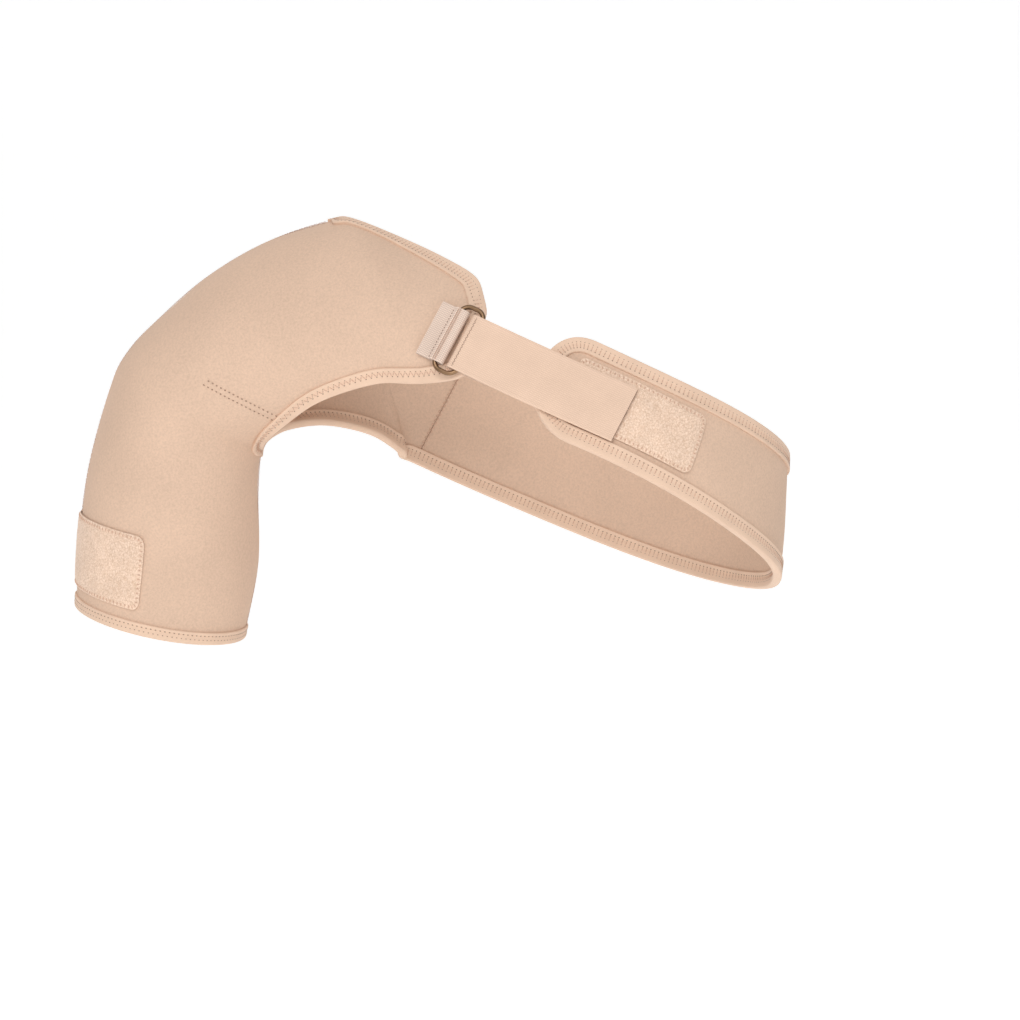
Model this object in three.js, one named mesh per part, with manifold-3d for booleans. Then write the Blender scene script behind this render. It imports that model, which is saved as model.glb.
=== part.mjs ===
// Shoulder brace for the right shoulder: a cloth-faced foam sleeve and shoulder cap with a front wing,
// a back wing that runs on as a chest band under the other arm, and an elastic strap and ring that close
// the loop on the chest. The brace has the form it takes on the body, and is hollow where the body goes.
//
// Frame: millimetres, +Z up, +X from the worn shoulder towards the other one, -Y to the front.
// The origin is the shoulder seat, where the inside of the cap lies on top of the shoulder.

import * as THREE from 'three';
import Module from 'manifold-3d';

const wasm = await Module();
wasm.setup();

// Shoulder and sleeve
const SLEEVE_OUT = 93;         // seat to the outer side of the sleeve
const SLEEVE_DROP = 217;       // seat down to the hem's inner end
const SHOULDER_DEPTH = 124;    // shoulder cap, front to back
const NECK_RISE = 26;          // seat up to the highest point of the neck edge
const WING_REACH = 146;        // seat across to the tip of the front wing
const PANEL_WALL = 3;          // cloth-faced foam
const CLEARANCE = 0.3;         // between pieces that lie on each other

// Torso that the chest band goes round
const MIDLINE = 160;           // seat to the middle of the chest
const TORSO_HALF_WIDTH = 160;
const TORSO_FRONT = 120;       // seat plane to the front of the chest
const TORSO_BACK = 106;        // seat plane to the back
const TORSO_SQUARENESS = 2.35; // 2 is an ellipse, more is squarer

// Chest band
const BAND_WIDTH = 58;         // at the free end
const BAND_BACK_WIDTH = 84;    // at the back seam
const BAND_START = 19.5;       // free end, past the midline
const BAND_SEAM = 40;          // back seam, before the midline
const BAND_LEVEL = 74.8;       // drop of the loop's plane on the torso's axis
const BAND_SIDE_FALL = 0.46;   // fall of that plane towards the other side, mm per mm
const BAND_BACK_FALL = 0.25;   // fall of that plane towards the back, mm per mm
const BAND_END_RADIUS = 27;    // nearly a half round
const BACK_WING_TOP = 100;     // length over which the back panel's neck edge turns into the band
const BACK_WING_EDGE = 30;     // the same on its underarm edge

// Folded tape on the edges
const TAPE_WALL = 0.8;
const TAPE_CLEARANCE = 0.4;    // to the panel inside it
const TAPE_WIDTH = 8.5;
const HEM_TAPE_WIDTH = 6;

// Loop patches
const PATCH_WALL = 1.2;
const PATCH_CORNER = 5;
const ARM_PATCH_HEIGHT = 41;
const ARM_PATCH_FRONT = 74;    // arm patch forward of the sleeve's outer line
const ARM_PATCH_BACK = 16;     // arm patch behind that line
const ARM_PATCH_LIFT = 12;     // hem to the patch
const CHEST_PATCH_LENGTH = 79;
const CHEST_PATCH_HEIGHT = 36;
const CHEST_PATCH_INSET = 20;  // band's free end to the patch

// Ring, tab and strap. Their places are counted from the ring's centre, along the strap and out from the
// front wing's face.
const RING_ACROSS = 132;       // seat to the ring's centre, across
const RING_DROP = 41;          // seat down to the ring's centre
const STRAP_SLOPE = 24;        // degrees that the strap falls towards the other side
const RING_LENGTH = 42;        // outside, along the bars
const RING_WIDTH = 17;         // outside, bar to bar
const RING_CORNER = 7;         // outside radius
const RING_WIRE = 2.3;
const RING_LIFT = 4.2;         // front wing's face to the wire's centre line
const WEBBING_WIDTH = 33;
const LOOP_GAP = 2.4;          // between the folds of the tab and the strap, inside the ring
const TAB_WALL = 1.2;
const TAB_LENGTH = 19.6;       // ring's centre to the tab's sewn end
const TAB_SEWN = 8.4;          // flat part of the tab that is sewn down
const STRAP_WALL = 1.2;
const STRAP_LENGTH = 107;      // ring's centre to the cut end
const STRAP_FOLD_BACK = 26;    // ring's centre to the end of the layer that is folded back
const STRAP_LANDING = 52;      // ring's centre to where the strap lies on the chest band
const HOOK_PAD_WALL = 1;
const HOOK_PAD_LENGTH = 26;
const HOOK_PAD_MARGIN = 1.5;   // strap's edges to the hook pad

// Fineness of the facets
const SHELL_STEPS = 25;
const HALF_TURN_STEPS = 16;
const BAND_STEPS = 32;
const BAND_CROSS_STEPS = 4;
const CUT_TOLERANCE = 0.02;

const across = share => share * (share < 0 ? SLEEVE_OUT : WING_REACH);
const height = share => share * (share < 0 ? SLEEVE_DROP : NECK_RISE);
const depth = share => share * SHOULDER_DEPTH / 2;

// Sections of the shell, from the hem over the shoulder to the tip of the wing. Each is an arc of an
// ellipse from the top line to the lower edge: at is its place along the shell, topX and topZ the point on
// the top line, edgeX and edgeZ the point on the lower edge, deep the half depth of the ellipse, start and
// end the arc's angles in degrees, and dip how far the arc's middle hangs below its chord. Places are shares
// of the sleeve's reach and drop, the wing's reach and the neck's rise, and depths are shares of half the
// shoulder's depth. The sleeve's sections are half turns, so both panels meet on its two lines.
const SLEEVE_SECTIONS = [
  { at: 0.00, topX: -0.99, topZ: -0.90, edgeX: 0.035, edgeZ: -0.99, deep: 0.87, start: 0, end: 180, dip: 0.024 },
  { at: 0.12, topX: -0.965, topZ: -0.705, edgeX: 0.09, edgeZ: -0.80, deep: 0.87, start: 0, end: 180, dip: 0.018 },
  { at: 0.24, topX: -0.90, topZ: -0.52, edgeX: 0.092, edgeZ: -0.61, deep: 0.91, start: 0, end: 180, dip: 0.008 },
  { at: 0.39, topX: -0.74, topZ: -0.29, edgeX: 0.107, edgeZ: -0.493, deep: 0.97, start: 0, end: 180, dip: 0 },
];
const FRONT_SECTIONS = [
  { at: 0.44, topX: -0.65, topZ: -0.225, edgeX: 0.13, edgeZ: -0.462, deep: 0.99, start: 0, end: 158, dip: 0 },
  { at: 0.50, topX: -0.52, topZ: -0.165, edgeX: 0.20, edgeZ: -0.419, deep: 1.01, start: 0, end: 140, dip: 0 },
  { at: 0.61, topX: -0.18, topZ: -0.037, edgeX: 0.353, edgeZ: -0.347, deep: 1.06, start: 0, end: 122, dip: 0 },
  { at: 0.72, topX: 0.13, topZ: 0.50, edgeX: 0.57, edgeZ: -0.298, deep: 1.17, start: 0, end: 107, dip: 0 },
  { at: 0.83, topX: 0.40, topZ: 1.00, edgeX: 0.707, edgeZ: -0.294, deep: 1.33, start: 0, end: 98, dip: 0 },
  { at: 0.87, topX: 0.475, topZ: 1.00, edgeX: 0.755, edgeZ: -0.293, deep: 1.38, start: 11, end: 95, dip: 0 },
  { at: 0.92, topX: 0.672, topZ: 0.58, edgeX: 0.80, edgeZ: -0.289, deep: 1.45, start: 22, end: 92, dip: 0 },
  { at: 0.955, topX: 0.847, topZ: 0.14, edgeX: 0.855, edgeZ: -0.283, deep: 1.52, start: 35, end: 91, dip: 0 },
  { at: 0.98, topX: 0.962, topZ: -0.030, edgeX: 0.893, edgeZ: -0.276, deep: 1.56, start: 46, end: 90, dip: 0 },
  { at: 0.99, topX: 0.984, topZ: -0.070, edgeX: 0.904, edgeZ: -0.272, deep: 1.57, start: 51, end: 90, dip: 0 },
  { at: 1.00, topX: 1.00, topZ: -0.114, edgeX: 0.915, edgeZ: -0.266, deep: 1.58, start: 57, end: 90, dip: 0 },
];
const BACK_SECTIONS = [
  { at: 0.44, topX: -0.65, topZ: -0.225, edgeX: 0.13, edgeZ: -0.468, deep: 0.99, start: 0, end: 158, dip: 0 },
  { at: 0.50, topX: -0.52, topZ: -0.165, edgeX: 0.20, edgeZ: -0.447, deep: 1.01, start: 0, end: 140, dip: 0 },
  { at: 0.61, topX: -0.18, topZ: -0.037, edgeX: 0.35, edgeZ: -0.44, deep: 1.08, start: 0, end: 122, dip: 0 },
  { at: 0.72, topX: 0.13, topZ: 0.50, edgeX: 0.52, edgeZ: -0.47, deep: 1.26, start: 0, end: 108, dip: 0 },
  { at: 0.83, topX: 0.40, topZ: 1.00, edgeX: 0.63, edgeZ: -0.520, deep: 1.45, start: 0, end: 98, dip: 0 },
  { at: 0.87, topX: 0.475, topZ: 0.88, edgeX: 0.66, edgeZ: -0.542, deep: 1.50, start: 14, end: 95, dip: 0 },
  { at: 0.92, topX: 0.63, topZ: -0.03, edgeX: 0.68, edgeZ: -0.562, deep: 1.54, start: 33, end: 92, dip: 0 },
  { at: 0.96, topX: 0.79, topZ: -0.17, edgeX: 0.705, edgeZ: -0.572, deep: 1.56, start: 52, end: 91, dip: 0 },
  { at: 1.00, topX: 0.92, topZ: -0.25, edgeX: 0.73, edgeZ: -0.575, deep: 1.58, start: 66, end: 90, dip: 0 },
];
const ARMPIT_AT = 0.39;
const NECK_AT = 0.83;

// Level slices of the torso: drop as a share of the sleeve's drop, the rest as shares of the torso's sizes.
const TORSO_SLICES = [
  { drop: -0.05, wide: 0.90, front: 0.46, back: 0.70 },
  { drop: 0.06, wide: 0.94, front: 0.61, back: 0.83 },
  { drop: 0.20, wide: 0.98, front: 0.78, back: 0.92 },
  { drop: 0.38, wide: 1.00, front: 0.93, back: 0.98 },
  { drop: 0.56, wide: 1.00, front: 1.00, back: 1.00 },
  { drop: 0.75, wide: 0.985, front: 1.00, back: 0.99 },
  { drop: 0.94, wide: 0.955, front: 0.97, back: 0.94 },
];

const radians = degrees => degrees * Math.PI / 180;
const mix = (a, b, share) => a + (b - a) * share;
const clamp01 = x => Math.min(1, Math.max(0, x));
const ease = x => clamp01(x) ** 2 * (3 - 2 * clamp01(x));
const range = (count, from = 0, to = 1) => Array.from({ length: count + 1 }, (_, i) => mix(from, to, i / count));

// A smooth curve through one column of a table: cubic pieces whose slope at a row is that of the line
// between its two neighbours.
function column(rows, key, name, x) {
  let i = 0;
  while (i < rows.length - 2 && x > rows[i + 1][key]) i += 1;
  const slope = j => {
    const before = rows[Math.max(j - 1, 0)];
    const after = rows[Math.min(j + 1, rows.length - 1)];
    return (after[name] - before[name]) / (after[key] - before[key]);
  };
  const span = rows[i + 1][key] - rows[i][key];
  const u = clamp01((x - rows[i][key]) / span);
  const rise = rows[i + 1][name] - rows[i][name];
  const first = slope(i) * span - rise;
  const second = rise - slope(i + 1) * span;
  return rows[i][name] + u * rise + u * (1 - u) * ((1 - u) * first + u * second);
}

// Shell: the tables in millimetres and radians
const inMillimetres = row => ({
  at: row.at,
  topX: across(row.topX),
  topZ: height(row.topZ),
  edgeX: across(row.edgeX),
  edgeZ: height(row.edgeZ),
  deep: depth(row.deep),
  start: radians(row.start),
  end: radians(row.end),
  dip: row.dip * SLEEVE_DROP,
});
const frontRows = [...SLEEVE_SECTIONS, ...FRONT_SECTIONS].map(inMillimetres);
const backRows = [...SLEEVE_SECTIONS, ...BACK_SECTIONS]
  .map(row => ({ ...row, dip: 0 }))
  .map(inMillimetres);

// A point of a panel's outer face: at runs along the shell, side is -1 in front and 1 behind, and s runs
// from the top line to the lower edge. The chord is shared out as the cosine of the ellipse's angle.
function sectionPoint(rows, side, at, s) {
  const value = name => column(rows, 'at', name, at);
  const start = Math.max(0, value('start'));
  const end = Math.min(Math.PI, value('end'));
  const angle = mix(start, end, s);
  const share = (Math.cos(start) - Math.cos(angle)) / (Math.cos(start) - Math.cos(end));
  return new THREE.Vector3(
    mix(value('topX'), value('edgeX'), share),
    side * (CLEARANCE / 2 + value('deep') * Math.sin(angle)),
    mix(value('topZ'), value('edgeZ'), share) - value('dip') * Math.sin(angle),
  );
}

// Torso: a point on the slice at height z, at an angle from the other side, positive to the front. The slice
// is a superellipse with its own depth in front and behind.
function torsoPoint(angle, z) {
  const slice = name => column(TORSO_SLICES, 'drop', name, -z / SLEEVE_DROP);
  const deep = angle > 0 ? TORSO_FRONT * slice('front') : TORSO_BACK * slice('back');
  const wide = TORSO_HALF_WIDTH * slice('wide');
  const power = TORSO_SQUARENESS;
  const reach = ((Math.abs(Math.cos(angle)) / wide) ** power
    + (Math.abs(Math.sin(angle)) / deep) ** power) ** (-1 / power);
  return new THREE.Vector3(MIDLINE + reach * Math.cos(angle), -reach * Math.sin(angle), z);
}

// The band's middle line: where a tilted plane cuts the torso, as a belt pulled tight lies.
function bandMiddle(angle) {
  let point = torsoPoint(angle, -BAND_LEVEL);
  for (let pass = 0; pass < 4; pass += 1) {
    const z = -BAND_LEVEL - BAND_SIDE_FALL * (point.x - MIDLINE) - BAND_BACK_FALL * point.y;
    point = torsoPoint(angle, z);
  }
  return point;
}

// Lengths along that line, from the free end, counted before it too so that slopes exist there.
const START_ANGLE = Math.atan2(TORSO_FRONT, BAND_START);
const SEAM_ANGLE = Math.atan2(TORSO_BACK, BAND_SEAM) - Math.PI;
const ANGLE_STEP = radians(0.5);
const bandLine = [];
for (let angle = START_ANGLE + radians(20), length = 0; angle > -Math.PI + radians(5); angle -= ANGLE_STEP) {
  const point = bandMiddle(angle);
  if (bandLine.length > 0) length += point.distanceTo(bandLine.at(-1).point);
  bandLine.push({ angle, length, point });
}
const lengthAtAngle = angle => {
  const i = Math.floor((bandLine[0].angle - angle) / ANGLE_STEP);
  const share = (bandLine[0].angle - angle) / ANGLE_STEP - i;
  return mix(bandLine[i].length, bandLine[i + 1].length, share);
};
const FREE_END = lengthAtAngle(START_ANGLE);
const BAND_LENGTH = lengthAtAngle(SEAM_ANGLE) - FREE_END;
const angleAtLength = length => column(bandLine, 'length', 'angle', length + FREE_END);

// A point of the band's outer face, length along the band from its free end and up across it from its
// middle line. The step across is square to the line on the unrolled torso.
function bandPoint(length, up) {
  const angle = angleAtLength(length);
  const middle = bandMiddle(angle);
  const ahead = bandMiddle(angle - ANGLE_STEP);
  const level = torsoPoint(angle - ANGLE_STEP, middle.z).distanceTo(middle);
  const slope = (ahead.z - middle.z) / level;
  const square = up / Math.hypot(1, slope);
  return torsoPoint(angle + square * slope * ANGLE_STEP / level, middle.z + square);
}

const bandHalfWidth = length => mix(BAND_WIDTH, BAND_BACK_WIDTH, ease(length / BAND_LENGTH)) / 2;

// Half the width of a strip whose end has round corners, some way in from that end
function roundedHalf(half, radius, fromEnd) {
  const left = radius - Math.min(radius, Math.max(0, fromEnd));
  return half - radius + Math.sqrt(radius ** 2 - left ** 2);
}
const bandEdge = length => roundedHalf(bandHalfWidth(length), BAND_END_RADIUS, length);

// Surfaces that pieces lie on: a point for two parameters, and the side that faces out
const frontFace = { point: (at, s) => sectionPoint(frontRows, -1, at, s), from: 0, to: 1, sign: -1, step: 1e-3 };
const backFace = {
  point: (at, s) => {
    const wing = clamp01((at - NECK_AT) / (1 - NECK_AT));
    const shell = sectionPoint(backRows, 1, at, s);
    if (wing === 0) return shell;
    const length = BAND_LENGTH + mix(BACK_WING_TOP, BACK_WING_EDGE, s) * (1 - wing);
    return shell.lerp(bandPoint(length, bandHalfWidth(BAND_LENGTH) * (1 - 2 * s)), ease(wing));
  },
  from: 0,
  to: 1,
  sign: 1,
  step: 1e-3,
};
const bandFace = { point: bandPoint, from: -Infinity, to: Infinity, sign: 1, step: 0.5 };

// Both panels as one sleeve: the turn is an angle from the outer line, positive to the front
const sleeveFace = {
  point: (at, turn) => sectionPoint(turn > 0 ? frontRows : backRows, -1, at, turn / Math.PI)
    .setY(-column(frontRows, 'at', 'deep', at) * Math.sin(turn)),
  from: 0,
  to: 1,
  sign: -1,
  step: 1e-3,
};

// The two tangents of a face at a point and its outward normal, from small steps
function tangents(face, u, v) {
  const { step } = face;
  const [before, after] = [Math.max(face.from, u - step), Math.min(face.to, u + step)];
  const alongU = face.point(after, v).sub(face.point(before, v)).divideScalar(after - before);
  const alongV = face.point(u, v + step).sub(face.point(u, v - step)).divideScalar(2 * step);
  const normal = alongU.clone().cross(alongV).multiplyScalar(face.sign).normalize();
  return { alongU, alongV, normal };
}

const lifted = (face, u, v, lift) => face.point(u, v).addScaledVector(tangents(face, u, v).normal, lift);

// The point that lies a given step away on the face: the step is shared out between the two tangents
function stepOnFace(face, u, v, step) {
  const { alongU, alongV } = tangents(face, u, v);
  const [a, b, c] = [alongU.dot(alongU), alongU.dot(alongV), alongV.dot(alongV)];
  const [p, q] = [alongU.dot(step), alongV.dot(step)];
  const scale = a * c - b * b;
  return [u + (c * p - b * q) / scale, v + (a * q - b * p) / scale];
}

// One closed body through a row of rings with as many points each. A ring goes there and back, so an open
// body is closed by strips between its two halves.
function loft(rings, closed = false) {
  const count = rings[0].length;
  const points = rings.flat();
  const positions = points.flatMap(point => [point.x, point.y, point.z]);
  const faces = [];
  const quad = (a, b, c, d) => faces.push(a, b, c, a, c, d);
  const last = closed ? rings.length : rings.length - 1;
  for (let i = 0; i < last; i += 1) {
    const here = i * count;
    const next = ((i + 1) % rings.length) * count;
    for (let j = 0; j < count; j += 1) {
      const k = (j + 1) % count;
      quad(here + j, here + k, next + k, next + j);
    }
  }
  if (!closed) {
    const end = (rings.length - 1) * count;
    for (let j = 0; j < count / 2 - 1; j += 1) {
      quad(count - 1 - j, count - 2 - j, j + 1, j);
      quad(end + j, end + j + 1, end + count - 2 - j, end + count - 1 - j);
    }
  }
  const volume = faces.reduce((sum, _, i) => {
    if (i % 3) return sum;
    const [a, b, c] = [0, 1, 2].map(k => points[faces[i + k]]);
    return sum + a.dot(b.clone().cross(c));
  }, 0);
  if (volume < 0) faces.reverse();
  const geometry = new THREE.BufferGeometry();
  geometry.setAttribute('position', new THREE.Float32BufferAttribute(positions, 3));
  geometry.setIndex(faces);
  geometry.computeVertexNormals();
  return geometry;
}

// A sheet of even thickness on a face, between two lifts, over rows of parameter pairs
function sheet(face, rows, low, high) {
  return loft(rows.map(row => [
    ...row.map(([u, v]) => lifted(face, u, v, high)),
    ...row.map(([u, v]) => lifted(face, u, v, low)).reverse(),
  ]));
}

// The room that a panel takes up with its clearance: its own grid between wider lifts, whose outer rows
// and columns are moved out past the panel's edges
function room(face, rows) {
  const past = (points, end, next) => {
    points[end] = points[end].clone().add(points[end].clone().sub(points[next]).setLength(TAPE_CLEARANCE));
  };
  const layer = lift => {
    const grid = rows.map(row => row.map(([u, v]) => lifted(face, u, v, lift)));
    for (const row of grid) {
      past(row, 0, 1);
      past(row, row.length - 1, row.length - 2);
    }
    const [first, last] = [0, grid.length - 1];
    const outside = (end, next) => grid[end].map((point, k) => point.clone()
      .add(point.clone().sub(grid[next][k]).setLength(TAPE_CLEARANCE)));
    [grid[first], grid[last]] = [outside(first, first + 1), outside(last, last - 1)];
    return grid;
  };
  const [high, low] = [layer(TAPE_CLEARANCE), layer(-TAPE_CLEARANCE - PANEL_WALL)];
  return loft(high.map((row, k) => [...row, ...low[k].reverse()]));
}

const toSolid = geometry => new wasm.Manifold(new wasm.Mesh({
  numProp: 3,
  vertProperties: new Float32Array(geometry.getAttribute('position').array),
  triVerts: new Uint32Array(geometry.getIndex().array),
}));

// A body without the rooms of its neighbours, without the neighbours themselves where a room folds on
// itself in a tight bend, and without the crumbs that the cuts leave
function cutAway(geometry, rooms, neighbours) {
  const without = (solid, taken) => solid.subtract(toSolid(taken));
  const roomy = rooms.reduce(without, toSolid(geometry)).simplify(CUT_TOLERANCE);
  const [body] = neighbours.reduce(without, roomy).decompose().sort((a, b) => b.volume() - a.volume());
  const mesh = body.getMesh();
  const cut = new THREE.BufferGeometry();
  cut.setAttribute('position', new THREE.Float32BufferAttribute(mesh.vertProperties, 3));
  cut.setIndex(Array.from(mesh.triVerts));
  cut.computeVertexNormals();
  return cut;
}

const brace = new THREE.Group();
function add(name, geometry, color, roughness, metalness = 0) {
  const mesh = new THREE.Mesh(geometry, new THREE.MeshStandardMaterial({ color, roughness, metalness }));
  mesh.name = name;
  brace.add(mesh);
}

const FOAM_CLOTH = 0xd9b49a;
const TAPE = 0xe8c6a8;
const LOOP = 0xe6c6ab;
const WEBBING = 0xe9d3c2;
const ELASTIC = 0xeccdb4;
const BRONZE = 0x8d6c51;

// Panels
const shellStations = range(SHELL_STEPS);
const halfTurn = range(HALF_TURN_STEPS);
const panelRows = shellStations.map(at => halfTurn.map(s => [at, s]));
const panels = [frontFace, backFace].map(face => sheet(face, panelRows, -PANEL_WALL, 0));
add('front_panel', panels[0], FOAM_CLOTH, 0.9);
add('back_panel', panels[1], FOAM_CLOTH, 0.9);

// Chest band: the rows lie closer together where the free end is rounded
const ROUND_STEPS = 4;
const roundLengths = range(ROUND_STEPS - 1, 0, Math.PI / 2 * (ROUND_STEPS - 1) / ROUND_STEPS)
  .map(turn => BAND_END_RADIUS * (1 - Math.cos(turn)));
const bandLengths = [
  ...roundLengths,
  ...range(BAND_STEPS, BAND_END_RADIUS, BAND_LENGTH - CLEARANCE),
];
const bandRows = bandLengths.map(length => range(BAND_CROSS_STEPS, -1, 1)
  .map(share => [length, share * bandEdge(length)]));
add('chest_band', sheet(bandFace, bandRows, -PANEL_WALL, 0), FOAM_CLOTH, 0.9);

// Hardware frame: the plane that touches the front wing's face under the ring's centre, its first axis
// along the strap and its second up across it.
function placeInFront(face, x, z) {
  let [u, v] = [0.9, 0.5];
  for (let pass = 0; pass < 8; pass += 1) {
    const here = face.point(u, v);
    const { alongU, alongV } = tangents(face, u, v);
    const scale = alongU.x * alongV.z - alongV.x * alongU.z;
    const [missX, missZ] = [x - here.x, z - here.z];
    u += (missX * alongV.z - missZ * alongV.x) / scale;
    v += (missZ * alongU.x - missX * alongU.z) / scale;
  }
  return face.point(u, v);
}
const ringSeat = placeInFront(frontFace, RING_ACROSS, -RING_DROP);
const eastOfSeat = placeInFront(frontFace, RING_ACROSS + 1, -RING_DROP).sub(ringSeat);
const aboveSeat = placeInFront(frontFace, RING_ACROSS, 1 - RING_DROP).sub(ringSeat);
const ringNormal = eastOfSeat.clone().cross(aboveSeat).normalize();
const fall = radians(STRAP_SLOPE);
const alongStrap = eastOfSeat.clone().multiplyScalar(Math.cos(fall))
  .addScaledVector(aboveSeat, -Math.sin(fall))
  .normalize();
const acrossStrap = ringNormal.clone().cross(alongStrap);

// The chest's face in front of a point: the torso's slice at that height
function chestInFront(x, z) {
  const slice = name => column(TORSO_SLICES, 'drop', name, -z / SLEEVE_DROP);
  const share = Math.abs(x - MIDLINE) / (TORSO_HALF_WIDTH * slice('wide'));
  const deep = TORSO_FRONT * slice('front') * Math.max(0, 1 - share ** TORSO_SQUARENESS) ** (1 / TORSO_SQUARENESS);
  return new THREE.Vector3(x, -deep, z);
}

// A point of the hardware: far along the strap, up across it, and out from what is below. That is the wing
// on the sewn tab's side, the ring's plane inside the ring, and the chest where the strap has come down.
function hardwarePoint(far, up, out) {
  const point = ringSeat.clone().addScaledVector(alongStrap, far).addScaledVector(acrossStrap, up);
  const onWing = 1 - ease((far + TAB_LENGTH - TAB_SEWN / 2) / TAB_SEWN);
  const onChest = ease((far - RING_WIDTH / 2) / (STRAP_LANDING - RING_WIDTH / 2));
  if (onWing > 0) point.lerp(placeInFront(frontFace, point.x, point.z), onWing);
  if (onChest > 0) point.lerp(chestInFront(point.x, point.z), onChest);
  return point.addScaledVector(ringNormal, out);
}

// A strip of webbing: its middle path is a row of points along the strap and out from the face, and it
// has half its wall on each side of it.
function webbing(path, wall, halfWidth, crossSteps) {
  const walls = path.map(([far, out], i) => {
    const before = path[Math.max(0, i - 1)];
    const after = path[Math.min(path.length - 1, i + 1)];
    const way = Math.hypot(after[0] - before[0], after[1] - before[1]);
    const [sideFar, sideOut] = [(before[1] - after[1]) / way, (after[0] - before[0]) / way];
    return [1, -1].map(side => [far + side * sideFar * wall / 2, out + side * sideOut * wall / 2]);
  });
  return loft(range(crossSteps, -halfWidth, halfWidth).map(up => [
    ...walls.map(([upper]) => hardwarePoint(upper[0], up, upper[1])),
    ...walls.map(([, lower]) => hardwarePoint(lower[0], up, lower[1])).reverse(),
  ]));
}
const TURN_STEPS = 8;
const barOut = RING_WIRE / 2 + CLEARANCE;

// The tab: flat on the wing, under the ring's bar, round and back over it to its sewn end
const tabTurn = barOut + TAB_WALL / 2;
const tabFold = -LOOP_GAP / 2 - 0.4 - tabTurn - TAB_WALL / 2;
const tabLow = CLEARANCE + TAB_WALL / 2;
const tabSeam = TAB_SEWN - TAB_LENGTH;
const tabHigh = tabLow + TAB_WALL + CLEARANCE;
const ringBar = (RING_WIDTH - RING_WIRE) / 2;
const tabPath = [
  [-TAB_LENGTH, tabLow],
  [tabSeam, tabLow],
  [-ringBar, RING_LIFT - tabTurn],
  ...range(TURN_STEPS, -Math.PI / 2, Math.PI / 2)
    .map(turn => [tabFold + tabTurn * Math.cos(turn), RING_LIFT + tabTurn * Math.sin(turn)]),
  [-ringBar - RING_WIRE / 2, RING_LIFT + tabTurn],
  [tabSeam, tabHigh],
  [-TAB_LENGTH, tabHigh],
];
add('ring_tab', webbing(tabPath, TAB_WALL, WEBBING_WIDTH / 2, 4), WEBBING, 0.9);

// Folded tape: a strip round an edge, through the edge's points in turn, with its inner side to the left of
// the way. Each point has its face and place there. The room of the panels is cut out of it, which leaves a U.
const FOLD_OUT = TAPE_CLEARANCE + TAPE_WALL;
function tape(points, width, rooms, closed = false) {
  const places = points.map(({ face, u, v }) => face.point(u, v));
  const rings = points.map(({ face, u, v }, i) => {
    const before = places[closed ? (i - 1 + places.length) % places.length : Math.max(0, i - 1)];
    const after = places[closed ? (i + 1) % places.length : Math.min(places.length - 1, i + 1)];
    const { normal } = tangents(face, u, v);
    const inward = normal.clone().cross(after.clone().sub(before)).normalize();
    const isEnd = !closed && (i === 0 || i === places.length - 1);
    if (isEnd) inward.setY(0).normalize();
    const [marginU, marginV] = stepOnFace(face, u, v, inward.clone().multiplyScalar(width));
    const edge = (out, lift) => places[i].clone().addScaledVector(inward, -out).addScaledVector(normal, lift);
    const margin = lift => lifted(face, marginU, marginV, lift);
    const rounding = FOLD_OUT / 2;
    return [
      margin(FOLD_OUT),
      edge(rounding, FOLD_OUT),
      edge(FOLD_OUT, FOLD_OUT - rounding),
      edge(FOLD_OUT, rounding - FOLD_OUT - PANEL_WALL),
      edge(rounding, -FOLD_OUT - PANEL_WALL),
      margin(-FOLD_OUT - PANEL_WALL),
    ];
  });
  return cutAway(loft(rings, closed), rooms, panels);
}
const along = (face, list) => list.map(([u, v]) => ({ face, u, v }));

const panelRooms = [room(frontFace, panelRows), room(backFace, panelRows)];
const tabRoom = webbing(tabPath, TAB_WALL + 2 * CLEARANCE, WEBBING_WIDTH / 2 + CLEARANCE, 4);
const hemPoints = [
  ...along(frontFace, halfTurn.map(s => [0, s])),
  ...along(backFace, halfTurn.slice(1, -1).reverse().map(s => [0, s])),
];
add('hem_binding', tape(hemPoints, HEM_TAPE_WIDTH, panelRooms, true), TAPE, 0.85);

const neckStations = [NECK_AT, ...shellStations.filter(at => at > NECK_AT + 0.01)];
const armpitStations = [ARMPIT_AT, ...shellStations.filter(at => at > ARMPIT_AT + 0.01)];
const TIP_STEPS = 5;
const frontEdge = along(frontFace, [
  ...armpitStations.map(at => [at, 1]),
  ...range(TIP_STEPS, 1, 0).slice(1, -1).map(s => [1, s]),
  ...neckStations.map(at => [at, 0]).reverse(),
]);
add('front_binding', tape(frontEdge, TAPE_WIDTH, [...panelRooms, tabRoom]), TAPE, 0.85);

const bandSide = side => bandLengths.map(length => [length, side * bandEdge(length)]);
const backEdge = [
  ...along(backFace, neckStations.slice(0, -1).map(at => [at, 0])),
  ...along(bandFace, bandSide(1).reverse()),
  ...along(bandFace, bandSide(-1)),
  ...along(backFace, armpitStations.slice(0, -1).map(at => [at, 1]).reverse()),
];
const backRooms = [...panelRooms, room(bandFace, bandRows)];
add('back_binding', tape(backEdge, TAPE_WIDTH, backRooms), TAPE, 0.85);

// Patches
function lengthToStation(length) {
  let at = 0;
  let gone = 0;
  let point = sleeveFace.point(0, 0);
  while (gone < length) {
    at += 0.001;
    const next = sleeveFace.point(at, 0);
    gone += next.distanceTo(point);
    point = next;
  }
  return at;
}
const sleeveRadius = (SLEEVE_OUT + SHOULDER_DEPTH) / 4;
const patchLow = CLEARANCE;
const patchHigh = patchLow + PATCH_WALL;

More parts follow.
